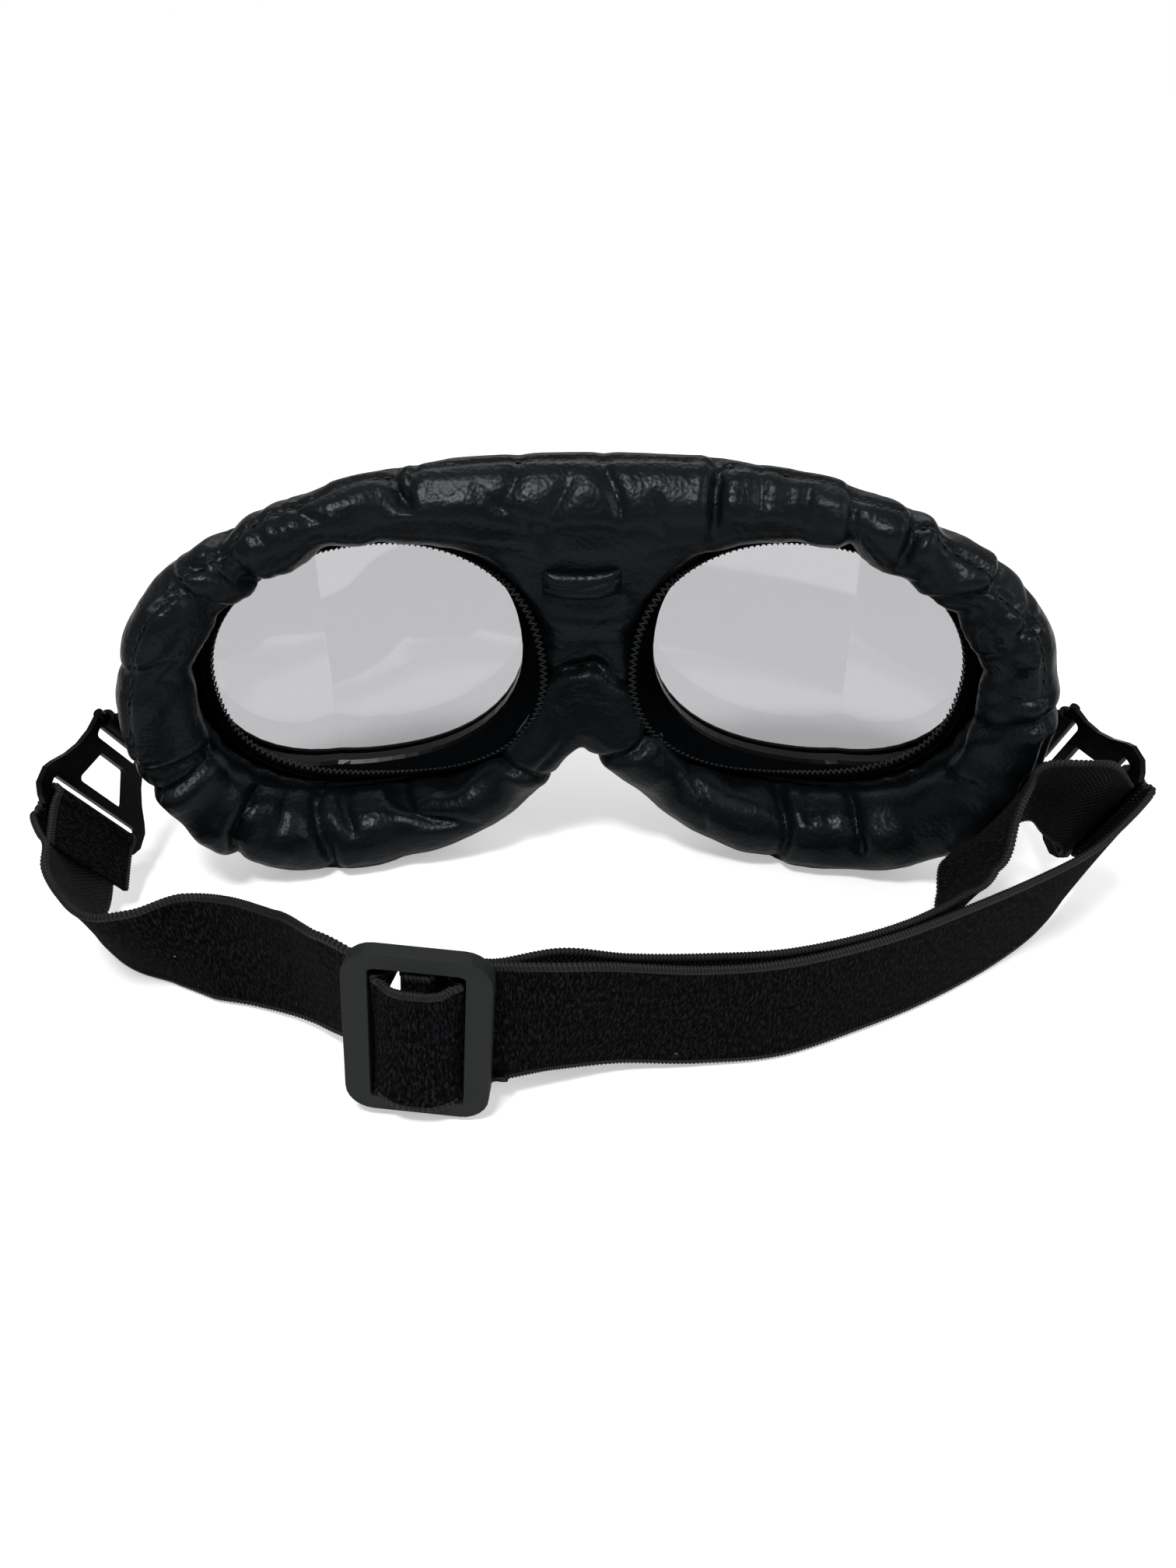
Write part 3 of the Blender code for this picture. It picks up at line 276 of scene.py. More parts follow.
LEATHER = coated_leather()
LINING = lining_cloth()
SEAM_THREAD = seam_thread()
EDGE_THREAD = overlock_thread()
PLUSH = plush_elastic()
RIBBED = ribbed_elastic()
STEEL = painted_metal("enamelled_steel", "#040405", 0.32)
ALLOY = painted_metal("enamelled_alloy", "#08090A", 0.3)
RIM = gloss_rim()
SLIDER_PLASTIC = moulded_slider()
LENS = pale_lens()


# ---- Making pieces ----

def alone(piece):
    """Selects this piece and nothing else."""
    bpy.ops.object.select_all(action="DESELECT")
    piece.select_set(True)
    bpy.context.view_layer.objects.active = piece


def modify(piece, kind, **settings):
    """Puts a modifier with these settings on a piece and applies it."""
    added = piece.modifiers.new(kind, kind)
    for name, value in settings.items():
        setattr(added, name, value)
    alone(piece)
    bpy.ops.object.modifier_apply(modifier=kind)


def placed(name, data):
    """A new object at the origin for a mesh, a curve, a camera or a lamp."""
    made = bpy.data.objects.new(name, data)
    bpy.context.scene.collection.objects.link(made)
    return made


def new_piece(name, shape, *finishes):
    """An object from a bmesh, with its faces turned outwards."""
    bmesh.ops.recalc_face_normals(shape, faces=shape.faces)
    mesh = bpy.data.meshes.new(name)
    shape.to_mesh(mesh)
    shape.free()
    for finish in finishes:
        mesh.materials.append(finish)
    return placed(name, mesh)


def leave_edit_mode():
    """Makes the faces agree on their outer side, and leaves edit mode."""
    bpy.ops.mesh.select_all(action="SELECT")
    bpy.ops.mesh.normals_make_consistent(inside=False)
    bpy.ops.object.mode_set(mode="OBJECT")


def smooth(piece, angle=None):
    alone(piece)
    if angle is None:
        bpy.ops.object.shade_smooth()
    else:
        bpy.ops.object.shade_smooth_by_angle(angle=math.radians(angle))


def belongs(piece, node=None):
    """Attaches a piece to the mask's body, and hides the CAD node that it stands for, if any."""
    if node:
        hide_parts(node)
    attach(piece, "mask")


def merged_copy(name, node, finish):
    """A copy of a CAD node's mesh with its loose triangles joined."""
    mesh = NODES[node].data.copy()
    mesh.name = name
    mesh.materials.clear()
    mesh.materials.append(finish)
    shape = bmesh.new()
    shape.from_mesh(mesh)
    bmesh.ops.remove_doubles(shape, verts=shape.verts, dist=0.00001)
    shape.to_mesh(mesh)
    shape.free()
    return placed(name, mesh)


FILL_FRAMES = 18
SKIN_STIFFNESS = 18.0


def fill(piece, pressure, cap, growth):
    """Blows up a closed skin by simulation, each point by no more than the cap."""
    before = [vert.co.copy() for vert in piece.data.vertices]
    cloth = piece.modifiers.new("fill", "CLOTH")
    cloth.point_cache.frame_start = 1
    cloth.point_cache.frame_end = FILL_FRAMES
    settings = cloth.settings
    settings.use_pressure = True
    settings.uniform_pressure_force = pressure
    settings.quality = 5
    settings.mass = 0.15
    settings.tension_stiffness = SKIN_STIFFNESS
    settings.compression_stiffness = SKIN_STIFFNESS
    settings.bending_stiffness = 0.05
    settings.shrink_min = -growth
    settings.effector_weights.gravity = 0.0
    for step in range(1, FILL_FRAMES + 1):
        bpy.context.scene.frame_set(step)
    alone(piece)
    bpy.ops.object.modifier_apply(modifier="fill")
    bpy.context.scene.frame_set(1)
    for vert, start in zip(piece.data.vertices, before):
        move = vert.co - start
        if move.length > cap:
            vert.co = start + move.normalized() * cap


def stuffed(piece, voxel, start_inset, pressure, cap, growth=0.0):
    """Swells a closed form as filled cloth: made smaller, remeshed evenly, filled and faired."""
    modify(piece, "DISPLACE", strength=-start_inset, mid_level=0.0)
    modify(piece, "REMESH", mode="VOXEL", voxel_size=voxel)
    fill(piece, pressure, cap, growth)
    modify(piece, "SMOOTH", factor=0.5, iterations=6)
    modify(piece, "SUBSURF", levels=1, render_levels=1)


# ---- The strap: one elastic band, drawn again from the sizes of its route ----

STRAP_WIDTH = 25.0 * MM
STRAP_THICKNESS = 1.2 * MM
GAP = 0.3 * MM
STRAP_SPAN = 100.0 * MM
STRAP_REACH = 70.0 * MM
PLATE = 1.2 * MM
BRACKET_LENGTH = 21.8 * MM
STRAP_BAR = 2.9 * MM
TAIL_LENGTH = 7.5 * MM
SLIDER_DEPTH = 3.0 * MM
SLIDER_WIDTH = 23.2 * MM
SLIDER_SIDE = 4.1 * MM
CENTRE_BAR_WIDTH = 2.6 * MM
CENTRE_BAR_DEPTH = 1.0 * MM
SLOT_CORNER = 0.8 * MM
OVERRUN = 2.0 * MM

# Where the strap runs, from the photograph: x in shares of STRAP_SPAN, y in shares of
# STRAP_REACH, the height of its lower edge in shares of its width, and how far it leans in x and y.
LEFT_RUN = (
    (-0.972, -0.35, 0.16, -0.1, -0.5), (-0.955, -0.44, 0.09, 0.0, -0.46),
    (-0.907, -0.515, 0.03, 0.0, -0.46), (-0.84, -0.585, 0.015, -0.04, -0.45),
    (-0.768, -0.613, 0.015, 0.0, -0.32), (-0.69, -0.615, 0.015, 0.06, -0.05),
    (-0.6, -0.64, 0.02, 0.03, -0.02), (-0.495, -0.72, 0.08, 0.05, -0.12),
    (-0.405, -0.85, 0.25, 0.03, -0.24),
)
RIGHT_OUTER = (
    (-0.05, -0.925, 0.18, 0.05, -0.08), (0.06, -0.885, 0.1, 0.02, -0.14),
    (0.19, -0.862, 0.03, 0.0, -0.14), (0.33, -0.83, 0.01, 0.0, -0.13),
    (0.487, -0.745, 0.015, 0.06, -0.15), (0.63, -0.64, 0.015, 0.04, -0.17),
    (0.78, -0.51, 0.03, 0.02, -0.24), (0.9, -0.4, 0.14, 0.1, -0.3),
)
RIGHT_INNER = (
    (0.935, -0.283, 0.6, 0.1, -0.27), (0.893, -0.255, 0.65, -0.02, -0.4),
    (0.85, -0.238, 0.71, -0.2, -0.5), (0.805, -0.275, 0.7, -0.12, -0.54),
    (0.755, -0.34, 0.65, 0.12, -0.52), (0.713, -0.4, 0.53, 0.32, -0.44),
    (0.685, -0.47, 0.33, 0.26, -0.36), (0.65, -0.55, 0.14, 0.15, -0.24),
    (0.585, -0.635, 0.04, 0.07, -0.2), (0.47, -0.72, 0.015, 0.04, -0.19),
    (0.33, -0.8, 0.015, 0.0, -0.12), (0.19, -0.828, 0.04, 0.0, -0.12),
    (0.06, -0.845, 0.08, 0.02, -0.12), (-0.05, -0.86, 0.14, 0.05, -0.08),
)


def columns(along, across, out, origin):
    return Matrix((
        (along.x, across.x, out.x, origin[0]),
        (along.y, across.y, out.y, origin[1]),
        (along.z, across.z, out.z, origin[2]),
        (0, 0, 0, 1),
    ))


def hinge_matrix(side):
    """Hinge coordinates: along the bracket, along its hinge, and outward."""
    axis = Vector((-0.215, 0.355, -0.91)).normalized()
    way = Vector((0.19, -0.899, -0.395))
    along = (way - axis * way.dot(axis)).normalized()
    place = columns(along, axis, along.cross(axis), (0.0942, 0.0029, 0.030))
    place = place @ Matrix.Rotation(math.radians(-1.0 if side > 0 else 9.0), 4, "Z")
    if side > 0:
        return place
    return Matrix.Scale(-1, 4, (1, 0, 0)) @ place @ Matrix.Scale(-1, 4, (0, 1, 0))


def slider_matrix():
    way = Vector((0.995, -0.07, -0.07)).normalized()
    rise = Vector((0.08, 0.03, 0.99))
    up = (rise - way * rise.dot(way)).normalized()
    return columns(way, up, way.cross(up), (-0.0265, -0.0684, 0.0175))


def local_stations(points, place, across):
    return [(*(place @ Vector(point)), *across) for point in points]


def bar_turn(side):
    """Stations round a bracket's strap bar, from its outer face to its inner one."""
    steps = 6
    lift = PLATE / 2 + GAP + STRAP_THICKNESS / 2
    near = BRACKET_LENGTH - STRAP_BAR + GAP
    far = near + STRAP_BAR + OVERRUN
    found = [(far, 0.0, lift), ((near + far) / 2, 0.0, lift)]
    for k in range(steps + 1):
        turn = math.pi / 2 + math.pi * k / steps
        found.append((near + lift * math.cos(turn), 0.0, lift * math.sin(turn)))
    found.append(((near + far) / 2, 0.0, -lift))
    place = hinge_matrix(side)
    return local_stations(found, place, place.to_3x3() @ Vector((0, -side, 0)))


def bar_levels():
    """Middle of the slider's bar, and of the sewn end in front of it and behind it."""
    middle = -SLIDER_DEPTH / 2 + CENTRE_BAR_DEPTH / 2 + SLOT_CORNER / 8
    lift = CENTRE_BAR_DEPTH / 2 + GAP + STRAP_THICKNESS / 2
    return middle, middle + lift, middle - lift


WEAVE_DIP = 1.6 * MM
# The way up through the slider's window: share of its half width, of the rise and of the dip.
WEAVE_CLIMB = ((0.9, 0.34, 0.3), (0.66, 0.74, 0.7), (0.34, 0.96, 0.95))


def weave_points():
    """Behind the slider's side, over its bars and behind the other side, dipping in the middle."""
    behind = -SLIDER_DEPTH / 2 - 2 * GAP - STRAP_THICKNESS / 2
    over = bar_levels()[1] + STRAP_THICKNESS + 4 * GAP
    window = SLIDER_WIDTH / 2 - SLIDER_SIDE
    half = [(window + SLIDER_SIDE, 0.8 * MM, behind - GAP),
            (window + SLIDER_SIDE / 2, 0.5 * MM, behind),
            (window - STRAP_THICKNESS / 8, 0.0, behind + GAP / 2)]
    for across, rise, dip in WEAVE_CLIMB:
        half.append((window * across, -WEAVE_DIP * dip, behind + (over - behind) * rise))
    left = [(-u, v, n) for u, v, n in half[1:]]
    return left + [(0.0, -WEAVE_DIP, over)] + half[::-1]


def end_loop_points():
    """The sewn end, in behind the outer run, round the bar and back."""
    middle, front_line, rear_line = bar_levels()
    side = CENTRE_BAR_WIDTH / 2 + GAP + STRAP_THICKNESS / 2
    behind = -SLIDER_DEPTH / 2 - 4 * GAP - 1.5 * STRAP_THICKNESS
    window = SLIDER_WIDTH / 2 - SLIDER_SIDE
    ease = STRAP_THICKNESS / 2
    return [
        (window + SLIDER_SIDE, 0.0, behind - GAP), (window * 0.85, 0.0, behind),
        (window * 0.5, 0.0, (behind + rear_line) / 2), (side / 2, 0.0, rear_line),
        (-side + ease, 0.0, rear_line), (-side, 0.0, rear_line + ease), (-side, 0.0, middle),
        (-side, 0.0, front_line - ease), (-side + ease, 0.0, front_line), (0.0, 0.0, front_line),
        (side - ease, 0.0, front_line), (side, 0.0, front_line - ease), (side, 0.0, middle),
    ]


def run_stations(rows):
    found = []
    for x, y, low, lean_x, lean_y in rows:
        rise = math.sqrt(1.0 - lean_x * lean_x - lean_y * lean_y)
        height = STRAP_WIDTH * (low + rise / 2)
        found.append((x * STRAP_SPAN, y * STRAP_REACH, height, lean_x, lean_y, rise))
    return found


def smooth_span(corners, steps):
    """Even steps of a smooth curve through four points, from the second up to the third."""
    found = []
    for k in range(steps):
        t = k / steps
        found.append(tuple(
            (2 * b + (c - a) * t + (2 * a - 5 * b + 4 * c - d) * t * t
             + (3 * b - a - 3 * c + d) * t ** 3) / 2
            for a, b, c, d in zip(*corners)
        ))
    return found


def smooth_path(points, pitch):
    found = []
    for i in range(len(points) - 1):
        last = min(i + 2, len(points) - 1)
        corners = points[max(i - 1, 0)], points[i], points[i + 1], points[last]
        length = (Vector(corners[2][:3]) - Vector(corners[1][:3])).length
        found += smooth_span(corners, max(1, round(length / pitch)))
    found.append(tuple(points[-1]))
    return found


STATION_PITCH = STITCH_PITCH / 4
EDGE_BAND = 1.35 * MM
PILE_FACE, EDGE, RIBBED_FACE = range(3)


def strap_section():
    """(across, out, kind) points round the strap's section."""
    half = STRAP_WIDTH / 2
    thick = STRAP_THICKNESS / 2
    flat = half - EDGE_BAND
    outer = [(-flat + 2 * flat * k / 8, thick * 0.86, PILE_FACE) for k in range(9)]
    upper = [(flat + EDGE_BAND * 0.35, thick, EDGE), (flat + EDGE_BAND * 0.72, thick * 0.96, EDGE),
             (half - 0.12 * MM, thick * 0.5, EDGE)]
    turn = upper + [(half, 0.0, EDGE)] + [(u, -n, EDGE) for u, n, _ in reversed(upper)]
    inner = [(-u, -n, RIBBED_FACE) for u, n, _ in outer]
    other = [(-u, -n, EDGE) for u, n, _ in turn]
    return outer + turn + inner + other


RIGHT_BAR = hinge_matrix(1) @ Vector((BRACKET_LENGTH, 0, 0)) + Vector((0, FORWARD, 0))
LEANING_WITHIN = 18.0 * MM
SQUARE_BEYOND = 32.0 * MM


def squared(middle):
    """1 where the strap's rows are square to its run, 0 by the right bar, where they lean."""
    away = (middle - RIGHT_BAR).length
    return clamped((away - LEANING_WITHIN) / (SQUARE_BEYOND - LEANING_WITHIN))


# How much the edge thread swells the edge, in shares of its thickness, and bites into its side.
THREAD_RISE = 0.16
THREAD_BITE = 0.08 * MM


def strap_piece(name, stations, distance):
    """A length of strap with piled faces and wrapped, ridged edges."""
    shape = bmesh.new()
    cloth = shape.loops.layers.uv.new("cloth")
    section = strap_section()
    count = len(section)
    rows = []
    spots = {}
    for i, station in enumerate(stations):
        middle = Vector(station[:3]) + Vector((0, FORWARD, 0))
        after = Vector(stations[min(i + 1, len(stations) - 1)][:3])
        before = Vector(stations[max(i - 1, 0)][:3])
        along = (after - before).normalized()
        across = Vector(station[3:]).normalized()
        across = (across - along * across.dot(along) * squared(middle)).normalized()
        out = along.cross(across).normalized()
        row = []
        for u, n, kind in section:
            if kind == EDGE:
                slant = (abs(u) - STRAP_WIDTH / 2 + EDGE_BAND) / EDGE_BAND
                turns = distance[i] / STITCH_PITCH + 0.3 * slant * math.copysign(1, n)
                wave = math.cos(2 * math.pi * turns)
                n *= 1.0 + THREAD_RISE * wave
                u -= math.copysign(THREAD_BITE, u) * (1 - wave) * slant
            vert = shape.verts.new(middle + across * u + out * n)
            spots[vert] = (u / MM, distance[i] / MM)
            row.append(vert)
        rows.append(row)
    for first, second in zip(rows, rows[1:]):
        for j in range(count):
            k = (j + 1) % count
            face = shape.faces.new((first[j], second[j], second[k], first[k]))
            kinds = {section[j][2], section[k][2]}
            face.material_index = EDGE if EDGE in kinds else min(kinds)
    for row in (rows[0], list(reversed(rows[-1]))):
        shape.faces.new(row)
    for face in shape.faces:
        for loop in face.loops:
            loop[cloth].uv = spots[loop.vert]
    piece = new_piece(name, shape, PLUSH, EDGE_THREAD, RIBBED)
    smooth(piece, 60)
    return piece


# Each piece of the strap from one sewn end to the other: the CAD node it stands for, the body
# that it turns into, and the places between which it does so.
STRAP_PIECES = (
    ("strap_left_end", "strap_left", "bracket_left",
     (-0.075, -0.022, 0.0125), (-0.096, -0.004, 0.02)),
    ("strap_left_run", None, "slider", (-0.066, -0.030, 0.0125), (-0.040, -0.040, 0.0175)),
    ("strap_outer_run", "strap_right_outer", "slider",
     (0.050, -0.030, 0.0125), (-0.012, -0.040, 0.0175)),
    ("strap_outer_end", None, "bracket_right", (0.058, -0.024, 0.0125), (0.098, -0.002, 0.0175)),
    ("strap_inner_end", None, "bracket_right", (0.072, -0.010, 0.02), (0.092, -0.002, 0.026)),
    ("strap_inner_run", "strap_right_inner", "slider",
     (0.040, -0.030, 0.0125), (-0.012, -0.040, 0.0175)),
)
# Where the runs are cut, on the row of sizes: left, right outer and right inner.
LEFT_CUT = Vector((-69.0, -43.0, 12.5)) * MM
OUTER_CUT = Vector((55.0, -49.0, 12.5)) * MM
INNER_CUT = Vector((47.0, -48.7, 13.8)) * MM
SEWN_END = Vector((BRACKET_LENGTH + TAIL_LENGTH, 0.0, -3.5 * MM))
BULGE = Vector((BRACKET_LENGTH + 3.2 * MM, 0.0, 1.7 * MM))


def build_strap():
    """Lays the whole band along its route, and cuts it into its pieces."""
    slide = slider_matrix()
    up = slide.to_3x3() @ Vector((0, 1, 0))
    weave = local_stations(weave_points(), slide, up)
    left_turn = bar_turn(-1)
    right_turn = bar_turn(1)
    left_hinge = hinge_matrix(-1)
    left_across = left_turn[0][3:]
    path = [(*(left_hinge @ SEWN_END), *left_across)] + left_turn[:0:-1]
    path += [(*(left_hinge @ BULGE), *left_across)] + run_stations(LEFT_RUN)
    path += weave + run_stations(RIGHT_OUTER) + right_turn + run_stations(RIGHT_INNER)
    path += local_stations(end_loop_points(), slide, up)
    points = smooth_path(path, STATION_PITCH)
    distance = [0.0]
    for first, second in zip(points, points[1:]):
        distance.append(distance[-1] + (Vector(second[:3]) - Vector(first[:3])).length)

    def nearest(place, start=0):
        return min(range(start, len(points)), key=lambda i: (Vector(points[i][:3]) - place).length)

    bar = nearest(Vector(weave[len(weave) // 2][:3]))
    turn = nearest(Vector(right_turn[5][:3]), bar)
    cuts = [0, nearest(LEFT_CUT), bar, nearest(OUTER_CUT, bar), turn, nearest(INNER_CUT, turn),
            len(points) - 1]
    for (name, node, body, start, end), low, high in zip(STRAP_PIECES, cuts, cuts[1:]):
        piece = strap_piece(name, points[low:high + 1], distance[low:high + 1])
        if node:
            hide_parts(node)
        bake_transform(piece)


# ---- Stuffed leather: the face cushion, the walls and the folded band ----

OPENING_X = 41.0 * MM
OPENING_Z = 43.5 * MM
OPENING_HALF_WIDTH = 32.5 * MM
OPENING_HALF_HEIGHT = 26.0 * MM
EYE_TILT = math.radians(7.0)
OVAL_POWER = 2.3
OPENING = (OPENING_X, OPENING_Z, OPENING_HALF_WIDTH, OPENING_HALF_HEIGHT)
LENS_OVAL = (45.6 * MM, 42.0 * MM, 32.0 * MM, 25.5 * MM)
ROLL_FRONT = 6.6 * MM

# Creases in the rear face, by the pixels of the photograph where each starts and ends, with
# its depth and half width in millimetres. Each is laid on the cushion under those pixels.
CREASE_MARKS = (
    (505, 602, 512, 640, 1.8, 1.2), (555, 596, 540, 703, 2.8, 1.1), (459, 618, 470, 703, 2.4, 1.0),
    (529, 612, 524, 642, 1.5, 0.9), (279, 714, 319, 752, 1.8, 1.1), (234, 763, 265, 779, 1.4, 1.0),
    (171, 826, 247, 861, 2.6, 1.2), (171, 989, 265, 966, 1.5, 0.9), (207, 1020, 263, 984, 1.8, 1.0),
    (335, 1010, 303, 1093, 2.6, 1.2), (408, 1024, 425, 1109, 2.6, 1.1),
    (439, 1024, 450, 1060, 1.5, 0.9), (517, 1011, 575, 1058, 1.8, 1.1),
    (638, 962, 694, 1002, 1.8, 1.0), (925, 605, 920, 676, 2.8, 1.1), (979, 622, 975, 660, 1.0, 0.9),
    (1099, 660, 1096, 700, 1.8, 1.0), (1209, 640, 1162, 720, 2.6, 1.2),
    (1290, 722, 1230, 775, 2.2, 1.1), (1345, 930, 1250, 935, 2.2, 1.1),
    (1003, 1020, 1005, 1095, 2.4, 1.1), (1090, 1015, 1104, 1085, 2.4, 1.1),
    (770, 985, 840, 935, 2.2, 1.0), (703, 867, 740, 858, 2.0, 0.9), (741, 858, 772, 857, 2.2, 0.9),
    (773, 858, 808, 882, 1.9, 0.9), (327, 668, 335, 695, 0.6, 0.8), (295, 715, 330, 750, 0.9, 0.9),
    (358, 655, 367, 685, 0.6, 0.8), (380, 640, 402, 667, 0.8, 0.8), (237, 725, 265, 732, 1.0, 0.8),
    (227, 757, 275, 782, 1.2, 0.9), (160, 866, 205, 860, 1.1, 0.8), (782, 610, 797, 655, 1.2, 1.0),
    (1040, 635, 1037, 660, 0.9, 0.8), (1330, 805, 1300, 825, 1.0, 0.8),
    (1325, 800, 1280, 845, 1.0, 0.8), (1210, 990, 1250, 1010, 1.4, 0.9),
    (895, 1005, 905, 1055, 1.0, 0.9), (505, 1010, 520, 1030, 1.0, 0.8),
    (1290, 905, 1335, 900, 1.0, 0.9), (1180, 985, 1215, 1020, 1.2, 0.8),
    (508, 610, 520, 645, 1.3, 0.8), (650, 640, 665, 600, 0.8, 1.1), (720, 640, 700, 690, 1.0, 1.1),
    (845, 650, 850, 680, 0.8, 1.0), (640, 650, 690, 690, 0.7, 1.2), (600, 980, 575, 1000, 1.0, 0.8),
    (370, 1025, 362, 1060, 0.9, 0.8), (1040, 1025, 1040, 1050, 0.8, 0.8),
    (720, 960, 700, 985, 1.0, 0.9), (690, 830, 716, 838, 0.8, 0.8),
)
CAMERA_PLACE = Vector((0.0, -0.1756, 0.148))
CAMERA_DIP = math.radians(33)
FOCAL_PIXELS = 1480.0
PICTURE_MIDDLE = (756, 1008)
GOGGLES_MIDDLE = (752, 860)


def under_pixel(tree, u, v):
    """The point of a surface under this pixel of the photograph, or the nearest one inwards."""
    ahead = Vector((0, math.cos(CAMERA_DIP), -math.sin(CAMERA_DIP)))
    up = Vector((0, math.sin(CAMERA_DIP), math.cos(CAMERA_DIP)))
    for _ in range(40):
        way = (ahead + Vector((1, 0, 0)) * ((u - PICTURE_MIDDLE[0]) / FOCAL_PIXELS)
               + up * ((PICTURE_MIDDLE[1] - v) / FOCAL_PIXELS))
        hit = tree.ray_cast(CAMERA_PLACE, way.normalized())[0]
        if hit is not None:
            return hit
        u += (GOGGLES_MIDDLE[0] - u) * 0.004
        v += (GOGGLES_MIDDLE[1] - v) * 0.004
    return None


def oval_reach(angle, half_width, half_height):
    """How far a tilted oval reaches from its middle at this angle."""
    turned = angle + EYE_TILT
    across = (abs(math.cos(turned)) / half_width) ** OVAL_POWER
    up = (abs(math.sin(turned)) / half_height) ** OVAL_POWER
    return (across + up) ** (-1.0 / OVAL_POWER)


def oval_point(oval, angle, grow=0.0):
    """A point (x, z) of the opening's or the lens's oval, let out by this much."""
    x, z, half_width, half_height = oval
    reach = oval_reach(angle, half_width + grow, half_height + grow)
    return x + reach * math.cos(angle), z + reach * math.sin(angle)


NOSE_FORWARD = 6.0 * MM
WRAP_AT = 52.0 * MM
WRAP_POWER = 2.3
BEND_X = 54.0 * MM


def wrap(x):
    """How far forward the middle of the cushion lies at this distance from the nose."""
    return NOSE_FORWARD * (1.0 - (abs(x) / WRAP_AT) ** WRAP_POWER)


def front(x):
    """How far forward the lens lies: turned 5 degrees at the nose and 24 past its bend."""
    first = min(x, BEND_X)
    rest = max(x - BEND_X, 0.0)
    return 25.0 * MM - math.tan(math.radians(5)) * first - math.tan(math.radians(24)) * rest


def roll_place(point):
    """Distance from the opening, way round the eye, and side from -1 to 1, of a point."""
    side = max(-1.0, min(1.0, point.x / (15 * MM)))
    dx = abs(point.x) - OPENING_X
    dz = point.z - OPENING_Z
    angle = math.atan2(dz, dx)
    reach = math.hypot(dx, dz)
    inner = oval_reach(angle, OPENING_HALF_WIDTH, OPENING_HALF_HEIGHT)
    return reach - inner, angle, side


def mark_gather_place(piece):
    """Keeps a pattern place per point whose folds run from the eye outwards."""
    kept = piece.data.attributes.new("gather_place", "FLOAT_VECTOR", "POINT")
    for vert, spot in zip(piece.data.vertices, kept.data):
        out, angle, side = roll_place(vert.co)
        spot.vector = (40 * MM * math.cos(angle) + 5 * MM * side, 40 * MM * math.sin(angle),
                       out * 0.25 + (vert.co.y - FORWARD) * 0.25)


def crease_runs(tree):
    """Inner and outer end of each crease on the surface, with its depth and half width."""
    found = []
    for u0, v0, u1, v1, depth, width in CREASE_MARKS:
        ends = [under_pixel(tree, u0, v0), under_pixel(tree, u1, v1)]
        if None in ends:
            continue
        ends.sort(key=lambda end: roll_place(end)[0])
        found.append((ends[0].x / MM, ends[0].z / MM, ends[1].x / MM, ends[1].z / MM, depth, width))
    return found


# A crease runs on past both of its marked ends, in shares of its length, and fades out there. It
# bows sideways by this share of it, and its walls fall off by this power.
RUN_ON = 0.7
LAST_FADE = 0.6
BOW = 0.06
WALL_POWER = 1.15
# Its lips stand this far off and are this broad, in half widths; one is high and one low.
LIP_OFF, LIP_BREADTH = 2.3, 1.5
HIGH_LIP, LOW_LIP = 0.16, 0.04


def crease_depth(runs, point):
    """How deep all the sewn-in creases pull this point in; each has a raised lip on one side."""
    found = 0.0
    x = point.x / MM
    z = point.z / MM
    for i, (x0, z0, x1, z1, depth, width) in enumerate(runs):
        run_x, run_z = x1 - x0, z1 - z0
        length = math.hypot(run_x, run_z)
        t = ((x - x0) * run_x + (z - z0) * run_z) / length ** 2
        if t < -RUN_ON or t > 1 + RUN_ON:
            continue
        bow = math.sin(math.pi * t) * BOW * length * (1 if i % 3 else -1)
        off = ((x - x0) * run_z - (z - z0) * run_x) / length + bow
        if abs(off) > 6 * width:
            continue
        end = min(1.0, (t + RUN_ON) / RUN_ON, (1 + RUN_ON - t) / LAST_FADE)
        lip = HIGH_LIP if (off > 0) == (i % 2 == 0) else LOW_LIP
        shoulder = bell(abs(off) - LIP_OFF * width, LIP_BREADTH * width)
        found += depth * end * (math.exp(-(abs(off) / width) ** WALL_POWER) - lip * shoulder)
    return found * MM


# How deep the gathers are, in mm: broad, coarse, and fine away from the seams and beside them.
BROAD, COARSE, FINE, FINE_AT_SEAM = 0.28, 0.05, 0.01, 0.12
SEAM_FADE = 4.0 * MM
# Gathers are drawn from noise round a ring of this radius, one turn for each eye.
GATHER_RING = 30


def wrinkles(point):
    """Soft gathers that run across the roll, deeper beside its seams."""
    out, angle, side = roll_place(point)
    place = Vector((GATHER_RING * math.cos(angle), GATHER_RING * math.sin(angle),
                    0.16 * out / MM + 7 * side))
    broad = noise.noise(place * 0.16 + Vector((3, 1, 7)))
    coarse = noise.noise(place * 0.42)
    fine = noise.noise(place * 1.05 + Vector((9, 4, 2)))
    seam_near = math.exp(-max(out, 0.0) / SEAM_FADE)
    return (BROAD * broad + COARSE * coarse + (FINE + FINE_AT_SEAM * seam_near) * fine) * MM


# How far the roll leans in over the lens beside each temple, at which angle it does so most, and
# how far from the opening's edge the lean has faded.
LEAN_IN = {1: 3.6 * MM, -1: 3.2 * MM}
LEAN_ANGLE = math.radians(25)
LEAN_REACH = 6 * MM
# How far the notch below the nose pad sits off centre, where it is, and how far round it.
NOTCH_SHIFT = Vector((-1.6 * MM, 0, 1.2 * MM))
NOTCH_HEIGHT = 24 * MM
NOTCH_REACH = 9 * MM
